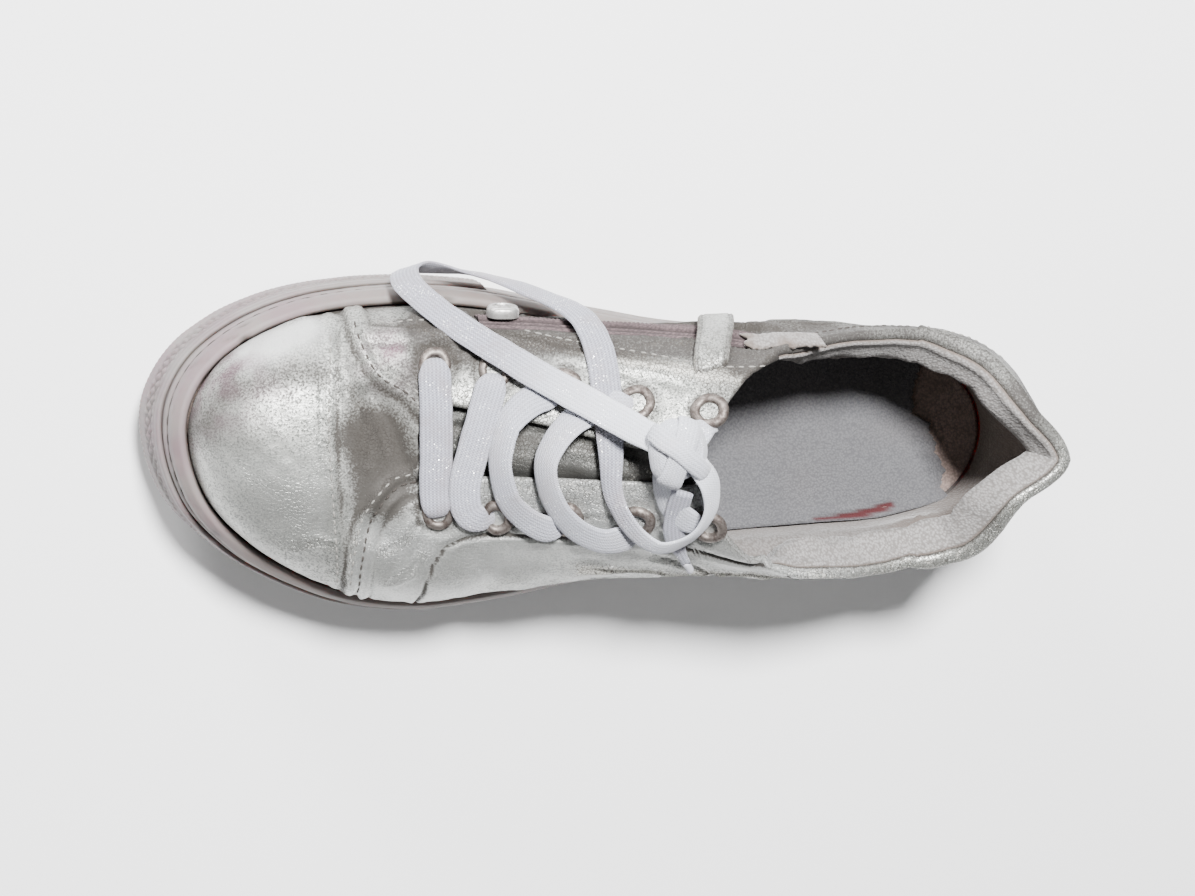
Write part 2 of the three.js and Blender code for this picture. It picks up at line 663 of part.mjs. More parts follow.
function add(name, geometry, material) {
  const mesh = new THREE.Mesh(geometry, material);
  mesh.name = name;
  shoe.add(mesh);
}

add("outsole", outsole(), rubber);
add("midsole", midsole(), rubber);
add("toe_bumper", toeBumper(), rubber);
add("insole", insole(), cloth);
add("upper", upper(), silver);
add("tongue", tongue(), silver);
add("zip_tape", bent(geometryFrom(zipTape())), tape);
add("zip_slider", zipSlider(), metal);
add("zip_tab", zipTab(), silver);
for (const spot of eyeletPlaces) add(spot.name, eyeletRing(spot), metal);
for (let i = 0; i < EYELETS; i++) add(`lace_bar_${i + 1}`, laceBar(i), cloth);
add("lace_knot", laceKnot(), cloth);
add("lace_loop", cordTube(LOOP_ROUTE), cloth);
add("lace_tip", cordTube(TIP_ROUTE), cloth);

export default shoe;
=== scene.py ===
"""A worn left sneaker: its camera, its laces, its fine surfaces and their materials."""
import math

import bmesh
import bpy
import numpy as np
from mathutils import Matrix, Vector
from mathutils.bvhtree import BVHTree


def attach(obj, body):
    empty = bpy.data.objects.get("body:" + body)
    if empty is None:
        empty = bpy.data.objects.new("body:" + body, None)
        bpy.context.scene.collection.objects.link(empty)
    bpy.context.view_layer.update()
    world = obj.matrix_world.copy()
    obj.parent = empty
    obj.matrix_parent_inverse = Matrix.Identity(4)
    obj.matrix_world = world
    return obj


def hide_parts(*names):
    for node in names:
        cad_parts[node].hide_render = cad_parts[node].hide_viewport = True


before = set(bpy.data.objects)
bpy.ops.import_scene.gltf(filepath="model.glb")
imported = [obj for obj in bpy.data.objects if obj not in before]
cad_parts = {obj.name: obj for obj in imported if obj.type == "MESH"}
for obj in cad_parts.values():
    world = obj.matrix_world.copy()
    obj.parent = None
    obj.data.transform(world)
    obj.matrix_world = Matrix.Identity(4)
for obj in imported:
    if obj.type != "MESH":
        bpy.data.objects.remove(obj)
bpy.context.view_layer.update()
MM = 0.001


# ---------------------------------------------------------------- camera, floor and light
CAMERA_AT = (0.2321, -0.1020, 0.6324)
CAMERA_AIM = (0.1000, 0.0, 0.0300)
CAMERA_ROLL = math.radians(-1.98)
CAMERA_LENS = 60.5


def make_camera():
    """Looks down from the toe and the inner side, rolled so that the toe points to the left."""
    back = (Vector(CAMERA_AT) - Vector(CAMERA_AIM)).normalized()
    right = -(Vector((1, 0, 0)) - back * back.x).normalized()
    up = back.cross(right)
    turned_right = right * math.cos(CAMERA_ROLL) + up * math.sin(CAMERA_ROLL)
    turned_up = up * math.cos(CAMERA_ROLL) - right * math.sin(CAMERA_ROLL)
    data = bpy.data.cameras.new("camera")
    data.lens, data.sensor_width = CAMERA_LENS, 36
    data.clip_start, data.clip_end = 0.01, 20
    camera = bpy.data.objects.new("camera", data)
    camera.matrix_world = Matrix((
        (turned_right.x, turned_up.x, back.x, CAMERA_AT[0]),
        (turned_right.y, turned_up.y, back.y, CAMERA_AT[1]),
        (turned_right.z, turned_up.z, back.z, CAMERA_AT[2]),
        (0, 0, 0, 1),
    ))
    bpy.context.scene.collection.objects.link(camera)
    bpy.context.scene.camera = camera


FLOOR_HALF, FLOOR_DROP = 9.0, 0.0003


def make_floor():
    """A wide pale floor, just below the sole."""
    corners = [(-1, -1), (1, -1), (1, 1), (-1, 1)]
    mesh = bpy.data.meshes.new("floor")
    mesh.from_pydata([(a * FLOOR_HALF, b * FLOOR_HALF, -FLOOR_DROP) for a, b in corners], [], [(0, 1, 2, 3)])
    mesh.materials.append(floor_paper())
    floor = bpy.data.objects.new("floor", mesh)
    bpy.context.scene.collection.objects.link(floor)


def make_light(name, at, aim, size, power):
    data = bpy.data.lights.new(name, "AREA")
    data.shape, data.size, data.energy = "DISK", size, power
    light = bpy.data.objects.new(name, data)
    light.location = at
    light.rotation_mode = "QUATERNION"
    light.rotation_quaternion = (Vector(aim) - Vector(at)).to_track_quat("-Z", "Y")
    bpy.context.scene.collection.objects.link(light)


# ---------------------------------------------------------------- shader maths
class Value:
    """A socket of a tree of nodes, which can be added, multiplied and so on."""

    def __init__(self, nodes, socket):
        self.nodes, self.socket = nodes, socket

    def _math(self, operation, other, swap=False):
        pair = (other, self) if swap else (self, other)
        return self.nodes.node("ShaderNodeMath", {0: pair[0], 1: pair[1]}, operation=operation)

    def __add__(self, other):
        return self._math("ADD", other)

    def __radd__(self, other):
        return self._math("ADD", other)

    def __sub__(self, other):
        return self._math("SUBTRACT", other)

    def __rsub__(self, other):
        return self._math("SUBTRACT", other, swap=True)

    def __mul__(self, other):
        return self._math("MULTIPLY", other)

    def __rmul__(self, other):
        return self._math("MULTIPLY", other)

    def between(self, low, high, to_low=0.0, to_high=1.0):
        """This value, from low to high, spread smoothly over to_low to to_high."""
        return self.nodes.node("ShaderNodeMapRange", {0: self, 1: low, 2: high, 3: to_low, 4: to_high},
                               interpolation_type="SMOOTHSTEP")


def rgba(color):
    """A colour for a socket: a value as it is, or three numbers with full alpha."""
    return color if isinstance(color, Value) else (*color, 1)


class Nodes:
    """The tree of nodes of a material or a world, and one way to add nodes to it."""

    def __init__(self, owner):
        owner.use_nodes = True
        self.owner, self.tree = owner, owner.node_tree
        self.tree.nodes.clear()

    def node(self, kind, inputs=None, out=0, stops=(), **settings):
        """Adds a node: first its settings and a ramp's stops, then the values or links of its sockets."""
        made = self.tree.nodes.new(kind)
        for key, value in settings.items():
            setattr(made, key, value)
        for i, (place, color) in enumerate(stops):
            made.color_ramp.elements[i].position = place
            made.color_ramp.elements[i].color = color
        for key, value in (inputs or {}).items():
            if isinstance(value, Value):
                self.tree.links.new(value.socket, made.inputs[key])
            else:
                made.inputs[key].default_value = value
        return Value(self, made.outputs[out]) if made.outputs else None


class Shader(Nodes):
    """A material, with short ways to add its usual nodes."""

    def __init__(self, name):
        super().__init__(bpy.data.materials.new(name))
        self.position = self.node("ShaderNodeTexCoord", out="Object")

    def attribute(self, name):
        return self.node("ShaderNodeAttribute", out="Fac", attribute_name=name)

    def scaled(self, scale):
        """The surface's position, scaled along each axis."""
        return self.node("ShaderNodeVectorMath", {0: self.position, 1: scale}, operation="MULTIPLY")

    def noise(self, size_mm, detail=3.0, rough=0.55, at=None):
        """Noise from 0 to 1 with lumps of about that size."""
        return self.node("ShaderNodeTexNoise", {
            "Vector": at or self.position, "Scale": 1 / (size_mm * MM), "Detail": detail, "Roughness": rough})

    def cells(self, size_mm, feature="DISTANCE_TO_EDGE", at=None):
        """Distance to the edges, or with F1 to the middles, of cells of about that size."""
        return self.node("ShaderNodeTexVoronoi", {
            "Vector": at or self.position, "Scale": 1 / (size_mm * MM)}, out="Distance", feature=feature)

    def mix(self, factor, a, b):
        """Colour a where factor is 0, and b where it is 1."""
        return self.node("ShaderNodeMix", {0: factor, 6: rgba(a), 7: rgba(b)}, out=2, data_type="RGBA")

    def bump(self, height, depth_mm, strength=1.0, **more):
        return self.node("ShaderNodeBump", {
            "Height": height, "Distance": depth_mm * MM, "Strength": strength, **more})

    def surface(self, color, roughness, metallic=0.0, **more):
        """The finished material. Names in more are sockets, with _ for a space."""
        inputs = {"Base Color": rgba(color), "Roughness": roughness, "Metallic": metallic}
        inputs |= {key.replace("_", " "): value for key, value in more.items()}
        self.node("ShaderNodeOutputMaterial", {
            "Surface": self.node("ShaderNodeBsdfPrincipled", inputs, out="BSDF")})
        return self.owner


def make_world():
    """Bright overhead and darker towards the horizon, so that the foil shows bright tops and dark sides."""
    world = Nodes(bpy.data.worlds.new("studio"))
    place = world.node("ShaderNodeTexCoord", out="Generated")
    height = world.node("ShaderNodeSeparateXYZ", {0: place}, out="Z")
    tone = world.node("ShaderNodeValToRGB", {"Fac": height},
                      stops=[(0.05, (0.10, 0.10, 0.103, 1)), (0.75, (0.95, 0.95, 0.97, 1))])
    glow = world.node("ShaderNodeBackground", {"Color": tone, "Strength": 0.13})
    world.node("ShaderNodeOutputWorld", {"Surface": glow})
    bpy.context.scene.world = world.owner


# ---------------------------------------------------------------- materials
def silver_leather(name, worn=0.0, painted_shade_factor=1.0):
    """Metallic foil on a light backing: mottled, cracked where it folds, grimy in the seams, with painted
    light and painted shade where its marks ask for them.
    """
    s = Shader(name)
    painted_shade = s.attribute("painted_shade")
    mottle = s.noise(3.0, 5, 0.7)
    grain = s.noise(0.62, 3, 0.65)
    blotch = s.noise(19, 4, 0.6)
    cracks = s.cells(1.15).between(0.02, 0.10, 1.0, 0.0)
    wear = s.attribute("wear") + worn
    peeled = (wear + (grain - 0.5) * 1.5 + (mottle - 0.5) * 1.1).between(0.55, 0.85)
    # This mark holds real dirt, and painted shade at the vamp's fold, on the toe cap, at the inner heel,
    # round the zip and round the eyelets.
    dirt = s.attribute("grime_and_shade")
    grime_and_shade = (dirt + dirt * ((blotch - 0.5) * 0.7 + (grain - 0.5) * 1.6)).between(0.15, 1.0)
    freckle = (grain * 0.75 + mottle * 0.25).between(0.44, 0.62)
    # The last argument dims both tones of the foil: painted shade for a piece that lies in shade, as the
    # tongue does.
    bright, dim = (tuple(v * painted_shade_factor for v in tone) for tone in ((0.42, 0.425, 0.40), (0.075, 0.08, 0.073)))
    foil = s.mix(freckle, bright, dim)
    foil = s.mix(blotch.between(0.45, 0.7) * 0.45, foil, (0.16, 0.16, 0.15))
    # Painted light: the pale mark lifts the foil towards light grey, and on the toe cap makes a painted
    # highlight.
    foil = s.mix(s.attribute("pale") * (0.55 + mottle * 0.6), foil, (0.60, 0.61, 0.60))
    foil = s.mix(s.attribute("pink") * (grain * 0.9 + 0.25), foil, (0.14, 0.055, 0.09))
    foil = s.mix(peeled, foil, (0.56, 0.55, 0.50))
    # Painted shade: this mark darkens the foil, and below it also makes the foil less metallic and rougher.
    foil = s.mix(painted_shade * (1.0 + (grain - 0.5) * 1.1), foil, (0.04, 0.036, 0.033))
    foil = s.mix(cracks * (wear * 1.4).between(0.15, 0.9) * 0.8, foil, (0.07, 0.06, 0.05))
    color = s.mix(grime_and_shade * 0.97, foil, (0.03, 0.026, 0.022))
    metallic = 0.80 - peeled * 0.74 - grime_and_shade * 0.60 - freckle * 0.22 - painted_shade * 0.5
    roughness = 0.34 + mottle * 0.14 + freckle * 0.14 + peeled * 0.34 + grime_and_shade * 0.3 + painted_shade * 0.25
    fine = s.bump(grain * 0.6 + mottle * 0.4, 0.16, 0.9)
    normal = s.bump(peeled * -0.6 - cracks * wear, 0.25, 0.9, Normal=fine)
    return s.surface(color, roughness, metallic, Normal=normal)


def white_rubber(name, tint):
    """Matt rubber with dark specks, long scuffs and warm or pink stains."""
    s = Shader(name)
    dirt = s.attribute("grime_and_shade")
    blotch = s.noise(14, 4, 0.6)
    speck = s.noise(1.1, 4, 0.7)
    scuff = s.noise(6, 5, 0.7, s.scaled((0.25, 0.25, 2.4)))
    grime_and_shade = (dirt + (speck - 0.5) * 0.4 * dirt).between(0.05, 1.0)
    warm = (blotch.between(0.4, 0.75) * 0.55 + s.attribute("warm") * 0.6).between(0.0, 1.0)
    color = s.mix(warm, tint, (0.145, 0.12, 0.11))
    color = s.mix(s.attribute("pink") * blotch.between(0.3, 0.7), color, (0.15, 0.09, 0.12))
    color = s.mix(speck.between(0.62, 0.78) * 0.55, color, (0.15, 0.13, 0.11))
    color = s.mix(grime_and_shade * 0.9, color, (0.055, 0.045, 0.038))
    normal = s.bump(s.noise(0.9, 3) + scuff * 0.4, 0.07, 0.6)
    return s.surface(color, 0.48 + scuff * 0.25 + grime_and_shade * 0.15, Normal=normal, Subsurface_Weight=0.04)


def lace_cotton():
    """A flat tubular weave with a fine glitter."""
    s = Shader("lace_cotton")
    along, across = s.attribute("along"), s.attribute("across")
    rows = s.node("ShaderNodeMath", {0: along * (2 * math.pi / 0.8)}, operation="SINE")
    ribs = s.node("ShaderNodeMath", {0: across * (2 * math.pi / 1.1)}, operation="SINE")
    weave = rows * ribs
    fuzz = s.noise(0.8, 4, 0.7)
    dust = s.noise(10, 4, 0.6)
    glitter = s.cells(0.9, "F1").between(0.12, 0.26, 1.0, 0.0) * s.noise(7, 3).between(0.48, 0.60)
    raised = (weave * 0.4 + ribs * 0.25 + fuzz).between(0.1, 0.95)
    color = s.mix(raised, (0.17, 0.17, 0.20), (0.33, 0.34, 0.40))
    color = s.mix(dust.between(0.42, 0.75) * 0.55 + s.attribute("grime_and_shade") * 0.5, color, (0.22, 0.19, 0.20))
    # pale is a painted highlight, strongest near the knot.
    color = s.mix(s.attribute("pale"), color, (0.80, 0.83, 0.88))
    color = s.mix(glitter, color, (1, 1, 1))
    normal = s.bump(weave * 0.4 + ribs * 0.22 + fuzz, 0.16, 0.9)
    return s.surface(color, 0.88 - glitter * 0.6, glitter * 0.7, Normal=normal, Sheen_Weight=0.2)


def woven(name, light, dark, size_mm, grime_color=(0.16, 0.12, 0.10), rib=(1, 1, 1), sheen=0.2):
    """A fabric with a visible weave."""
    s = Shader(name)
    yarn = s.cells(size_mm, "F1", s.scaled(rib))
    patch = s.noise(11, 4, 0.6)
    dirt = s.attribute("grime_and_shade")
    color = s.mix(yarn.between(0.25, 0.75), light, dark)
    color = s.mix(patch.between(0.45, 0.8) * 0.4, color, dark)
    color = s.mix(s.attribute("red"), color, (0.045, 0.003, 0.005))
    color = s.mix((dirt + (patch - 0.5) * 0.4 * dirt).between(0.05, 1.0) * 0.9, color, grime_color)
    return s.surface(color, 0.92, Normal=s.bump(1 - yarn, 0.25, 0.9), Sheen_Weight=sheen)


def dull_metal(name, light, dark, rough):
    """Tarnished metal."""
    s = Shader(name)
    tarnish = s.noise(2.2, 5, 0.65)
    color = s.mix(tarnish.between(0.42, 0.62), light, dark)
    shine = 0.9 - tarnish.between(0.45, 0.7) * 0.5
    return s.surface(color, rough + tarnish * 0.3, shine, Normal=s.bump(s.noise(0.5, 3), 0.03, 0.6))


def thread(name, color):
    """Twisted thread, darker between its strands."""
    s = Shader(name)
    twist = s.noise(0.4, 2)
    shaded = tuple(v * 0.55 for v in color)
    return s.surface(s.mix(twist, color, shaded), 0.85, Normal=s.bump(twist, 0.08))


def floor_paper():
    s = Shader("floor_paper")
    tone = s.noise(400, 2)
    return s.surface(s.mix(tone, (0.84, 0.84, 0.845), (0.86, 0.86, 0.865)), 0.9)


# ---------------------------------------------------------------- meshes from rows of points
def lumps(p, size, seed=0):
    """Smooth random values from -1 to 1 at points p, with lumps of about that size."""
    q = np.asarray(p, float) / size + seed * 17.31
    cell = np.floor(q)
    f = q - cell
    f = f * f * (3 - 2 * f)
    total = 0
    for corner in np.ndindex(2, 2, 2):
        c = np.array(corner)
        h = np.sin((cell + c) @ np.array([127.1, 311.7, 74.7])) * 43758.5453
        weight = np.prod(np.where(c == 1, f, 1 - f), axis=-1)
        total = total + weight * ((h - np.floor(h)) * 2 - 1)
    return total


def distance_to(path, *coordinates):
    """Distance of each point from a polyline, in as many dimensions as there are coordinates."""
    p = np.stack(coordinates, -1)[..., None, :]
    line = np.array(path, float)
    a, step = line[:-1], np.diff(line, axis=0)
    t = np.clip(((p - a) * step).sum(-1) / (step**2).sum(-1), 0, 1)
    return np.linalg.norm(p - a - t[..., None] * step, axis=-1).min(-1)


def unit(v):
    """Vectors of length 1 in the same ways as v."""
    return v / np.maximum(np.linalg.norm(v, axis=-1, keepdims=True), 1e-9)


def run_along(line):
    """Length from the start of a line to each of its points."""
    return np.concatenate([[0], np.cumsum(np.linalg.norm(np.diff(line, axis=0), axis=1))])


def cubic(t, a, slope_a, b, slope_b):
    """Values from a to b as t goes from 0 to 1, with these slopes at the two ends."""
    return ((2 * t**3 - 3 * t**2 + 1) * a + (t**3 - 2 * t**2 + t) * slope_a
            + (3 * t**2 - 2 * t**3) * b + (t**3 - t**2) * slope_b)


def between_points(p0, p1, p2, p3, steps):
    """Points from p1 up to p2 on the centripetal curve through four points."""
    d0, d1, d2 = (max(np.sqrt(np.linalg.norm(b - a)), 1e-6) for a, b in ((p0, p1), (p1, p2), (p2, p3)))
    m1 = ((p1 - p0) / d0 - (p2 - p0) / (d0 + d1) + (p2 - p1) / d1) * d1
    m2 = ((p2 - p1) / d1 - (p3 - p1) / (d1 + d2) + (p3 - p2) / d2) * d1
    return cubic(np.linspace(0, 1, steps, endpoint=False)[:, None], p1, m1, p2, m2)


def smooth_path(points, spacing):
    """Evenly spaced points on a smooth open curve through points."""
    p = np.array(points, float)
    p = np.vstack([2 * p[0] - p[1], p, 2 * p[-1] - p[-2]])
    fine = [between_points(*four, 16) for four in zip(p, p[1:], p[2:], p[3:])]
    fine = np.vstack([*fine, p[-2][None]])
    length = run_along(fine)
    at = np.linspace(0, length[-1], max(int(round(length[-1] / spacing)), 2) + 1)
    return np.stack([np.interp(at, length, fine[:, k]) for k in range(fine.shape[1])], -1)


def grid_faces(rows, cols, wrap_rows=False, wrap_cols=False):
    """Four corners for each cell of a grid of points."""
    r = np.arange(rows if wrap_rows else rows - 1)[:, None]
    c = np.arange(cols if wrap_cols else cols - 1)[None]
    r, c = np.broadcast_arrays(r, c)
    r2, c2 = (r + 1) % rows, (c + 1) % cols
    return np.stack([r * cols + c, r * cols + c2, r2 * cols + c2, r2 * cols + c], -1).reshape(-1, 4)


def make_piece(name, points, faces, materials, replaced=(), face_materials=None, marks=None, merge=0.0):
    """A named piece from points in millimetres. marks are values for the material at each point."""
    mesh = bpy.data.meshes.new(name)
    flat = np.asarray(points, float).reshape(-1, 3)
    mesh.from_pydata((flat * MM).tolist(), [], [list(map(int, f)) for f in faces])
    for key, values in (marks or {}).items():
        values = np.broadcast_to(np.ravel(values), len(flat)).astype(np.float32)
        mesh.attributes.new(key, "FLOAT", "POINT").data.foreach_set("value", values)
    for material in materials:
        mesh.materials.append(material)
    if face_materials is not None:
        mesh.polygons.foreach_set("material_index", np.asarray(face_materials, np.int32))
    mesh.polygons.foreach_set("use_smooth", np.full(len(mesh.polygons), True))
    piece = bpy.data.objects.new(name, mesh)
    bpy.context.scene.collection.objects.link(piece)
    if merge:
        weld(mesh, merge)
    mesh.update()
    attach(piece, "root")
    if replaced:
        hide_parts(*replaced)
    return piece


def weld(mesh, gap_mm):
    """Joins points that lie within gap_mm of each other."""
    work = bmesh.new()
    work.from_mesh(mesh)
    bmesh.ops.remove_doubles(work, verts=work.verts, dist=gap_mm * MM)
    work.to_mesh(mesh)
    work.free()


def normals_of(points, wrap_cols):
    """Normals of a grid of points: columns' direction across rows' direction."""
    if wrap_cols:
        across = np.roll(points, -1, 1) - np.roll(points, 1, 1)
    else:
        across = np.gradient(points, axis=1)
    return unit(np.cross(np.gradient(points, axis=0), across))


def slab(top, low):
    """Points and faces of a sheet with a top and an underside."""
    rows, cols = top.shape[:2]
    count = rows * cols
    ring = [*range(cols), *range(2 * cols - 1, count, cols), *range(count - 2, count - cols - 1, -1),
            *range(count - 2 * cols, 0, -cols)]
    faces = [*grid_faces(rows, cols).tolist(), *(grid_faces(rows, cols)[:, ::-1] + count).tolist(),
             *([a, a + count, b + count, b] for a, b in zip(ring, ring[1:] + ring[:1]))]
    return np.concatenate([top.reshape(-1, 3), low.reshape(-1, 3)]), faces


def on_top(values, below=1.0):
    """Values at the points of a slab's top, and one value at those of its underside."""
    return np.concatenate([values.ravel(), np.full(values.size, below)])


# ---------------------------------------------------------------- the last, in millimetres
# The same outline, sections and bend as the CAD model has, so that the fine surfaces lie on its solids.
GAP = 0.3
BEND_START, BEND_RADIUS = 135.0, 400.0
OUTSOLE_THICK, FLOOR_Z, RIM_Z, RIM_THICK, HEEL_RAKE = 4.0, 16.0, 32.0, 5.0, 8.0
WALL, COLLAR_PAD, PAD_DEPTH = 2.0, 4.5, 24.0
SPINE_BACK, SPINE_FRONT = -6.0, 196.0
THROAT_FRONT, THROAT_ROUND = 165.0, 14.0
EYELETS, EYELET_FIRST_X, EYELET_PITCH, EYELET_INSET = 5, 158.0, 19.8, 11.5
UPPER_LOW, UPPER_INSET, SHOULDER_Z = FLOOR_Z + GAP, RIM_THICK + GAP, RIM_Z + 1
OUTLINE = [
    (-38, 0), (-34, 15), (-22, 28), (0, 34.5), (30, 36), (70, 38), (105, 42.5), (135, 47.5), (160, 49),
    (184, 45), (204, 36.5), (220, 26), (232, 13), (238, -3), (238, -17), (231, -30), (217, -40.5),
    (196, -48), (168, -51), (138, -49.5), (105, -43), (70, -36.5), (30, -34), (0, -33), (-22, -27),
    (-34, -15),
]


def smoothstep(low, high, x):
    """0 before low and 1 after high, smooth between them. low may be the greater."""
    t = np.clip((np.asarray(x, float) - low) / (high - low), 0, 1)
    return t * t * (3 - 2 * t)


def through(points):
    """A smooth curve through (x, value) points, held level beyond both ends."""
    xs, ys = np.array(points, float).T
    after, before = np.minimum(np.arange(len(xs)) + 1, len(xs) - 1), np.maximum(np.arange(len(xs)) - 1, 0)
    slope = (ys[after] - ys[before]) / (xs[after] - xs[before])

    def curve(x):
        x = np.clip(np.asarray(x, float), xs[0], xs[-1])
        i = np.clip(np.searchsorted(xs, x) - 1, 0, len(xs) - 2)
        h = xs[i + 1] - xs[i]
        return cubic((x - xs[i]) / h, ys[i], h * slope[i], ys[i + 1], h * slope[i + 1])

    return curve


def closed_curve(points, steps):
    """A closed centripetal curve through points."""
    p = np.array(points, float)
    fours = zip(np.roll(p, 1, 0), p, np.roll(p, -1, 0), np.roll(p, -2, 0))
    return np.vstack([between_points(*four, steps) for four in fours])


outline = closed_curve(OUTLINE, 16)
spine_y = through([(-6, 0), (60, -1), (98, -3), (130, -7), (160, -9.5), (196, -10)])
ridge_z = through([(-6, 150), (30, 125), (60, 100), (80, 88), (98, 81), (120, 74), (141, 67.5), (155, 64),
                   (167, 61.5), (180, 59), (196, 57.5)])
fullness = through([(-6, 2.1), (60, 2.0), (110, 1.9), (150, 2.1), (196, 2.3)])
swell_out = through([(-38, 4), (0, 6.5), (40, 8), (70, 8), (105, 5), (135, 2), (165, 1)])
swell_in = through([(-38, 4), (-10, 9), (10, 12), (40, 13.5), (70, 12.5), (105, 8.5), (135, 4.5), (165, 1.5)])
topline_out = through([(-38, 81), (-27, 80), (-14, 72), (-2, 65), (10, 63.5), (24, 66.5), (40, 71), (58, 76),
                       (84, 88)])
topline_in = through([(-38, 81), (-27, 80.5), (-14, 74), (-2, 67.5), (10, 66), (24, 69), (40, 73), (58, 77),
                      (84, 88)])
throat_half = through([(58, 26), (68, 13), (78, 5.5), (88, 5.5), (102, 6), (125, 8.5), (155, 11.5)])


def bend(p):
    """Curls the toe up, as on the CAD model."""
    p = np.asarray(p, float)
    x, y, z = p[..., 0], p[..., 1], p[..., 2]
    turn = np.maximum((x - BEND_START) / BEND_RADIUS, 0)
    bent_x = np.where(turn > 0, BEND_START + (BEND_RADIUS - z) * np.sin(turn), x)
    bent_z = np.where(turn > 0, BEND_RADIUS - (BEND_RADIUS - z) * np.cos(turn), z)
    return np.stack([bent_x, y, bent_z], -1)


class Columns:
    """Vertical half planes that start on the spine. reach is how far the outline is along each."""

    def __init__(self, x, y, angle):
        self.x, self.y, self.angle = (np.asarray(v, float) for v in (x, y, angle))
        self.wx, self.wy = np.cos(self.angle), np.sin(self.angle)
        x, y, wx, wy = (v.ravel()[None] for v in (self.x, self.y, self.wx, self.wy))
        ax, ay = (outline[:, k][:, None] for k in (0, 1))
        bx, by = (np.roll(outline[:, k], -1)[:, None] for k in (0, 1))
        ca = wx * (ay - y) - wy * (ax - x)
        cb = wx * (by - y) - wy * (bx - x)
        t = np.where(ca == cb, 0, ca / np.where(ca == cb, 1, ca - cb))
        far = wx * (ax + (bx - ax) * t - x) + wy * (ay + (by - ay) * t - y)
        self.reach = np.where(ca * cb <= 0, far, 0).max(0).reshape(self.x.shape)
        self.inner = self.wy < 0
        self.along = self.x + self.wx * self.reach

    def place(self, out, z):
        """Points at lengths out along the columns and at heights z."""
        z = np.broadcast_to(z, np.shape(out))
        return np.stack([self.x + self.wx * out, self.y + self.wy * out, z], -1)

    def out_at(self, z):
        """How far out the upper's outer face is at heights z."""
        base = self.reach - UPPER_INSET
        rise = np.clip((z - SHOULDER_Z) / (ridge_z(self.x) - SHOULDER_Z), 0, 1)
        power = fullness(self.x)
        near_heel = smoothstep(8, -14, self.along) * np.abs(np.sin(2 * self.angle)) ** 1.5
        pinch = np.where(self.inner, 6, 9.5) * smoothstep(46, 80, z) * near_heel
        swell = np.where(self.inner, swell_in(self.along), swell_out(self.along))
        body = base * (1 - rise**power) ** (1 / power) + swell * smoothstep(SHOULDER_Z, 54, z) * (1 - rise**4)
        return np.where(z <= SHOULDER_Z, base, body - pinch)

    def height_at(self, out):
        """The height at which the upper's outer face is that far out."""
        low = SHOULDER_Z + (ridge_z(self.x) - SHOULDER_Z) * 0.3
        high = ridge_z(self.x)
        for _ in range(40):
            middle = (low + high) / 2
            wide = self.out_at(middle) > out
            low, high = np.where(wide, middle, low), np.where(wide, high, middle)
        return (low + high) / 2

    def edge_z(self):
        """The height of the upper's free edge: the collar, the throat, or the ridge where it is closed."""
        top = np.where(self.inner, topline_in(self.along), topline_out(self.along))
        half = open_half(self.x)
        throat = np.where(half > 0, self.height_at(half), ridge_z(self.x))
        on_side = np.where(self.x > 90, throat, np.minimum(top, throat))
        return np.where(self.x <= SPINE_BACK, top, on_side)


def open_half(x):
    """Half the throat's width, 0 in front of it."""
    into = np.clip((THROAT_FRONT - np.asarray(x, float)) / THROAT_ROUND, 0, 1)
    return throat_half(x) * np.sqrt(1 - (1 - into) ** 2)


def side_columns(x, side):
    """side is 1 for the outer side and -1 for the inner side."""
    x = np.asarray(x, float)
    return Columns(x, spine_y(x), np.broadcast_to(np.asarray(side) * math.pi / 2, x.shape))


def on_face(x, z, side, lift=0.0):
    """Points of the upper's outer face before the bend, lifted along its normal."""
    def at(x, z):
        c = side_columns(x, side)
        return c.place(c.out_at(z), z)
    x, z = np.broadcast_arrays(np.asarray(x, float), np.asarray(z, float))
    normal = np.cross(at(x + 0.5, z) - at(x - 0.5, z), at(x, z + 0.5) - at(x, z - 0.5))
    return at(x, z) - side * unit(normal) * np.asarray(lift, float)[..., None]


def over_throat(x, y):
    """The surface carried on over the throat: places, the way along the foot and the way out."""
    def at(x, y):
        c = side_columns(x, np.where(y >= 0, 1, -1))
        return np.stack([x, spine_y(x) + y, c.height_at(np.maximum(np.abs(y), 0.5))], -1)
    x, y = np.broadcast_arrays(np.asarray(x, float), np.asarray(y, float))
    along = unit(at(x + 1, y) - at(x - 1, y))
    return at(x, y), along, unit(np.cross(along, at(x, y + 1) - at(x, y - 1)))


def wall_thick(c, z):
    """Thickness of the upper's wall, padded at the collar."""
    from_edge = c.edge_z() - z
    pad = smoothstep(PAD_DEPTH, 6, from_edge) * (1 - 0.45 * smoothstep(6, 0, from_edge))
    near_heel = 1 + 0.5 * smoothstep(20, -4, c.along) * smoothstep(-36, -20, c.along)
    return WALL + COLLAR_PAD * near_heel * pad * (1 - smoothstep(48, 70, c.x))


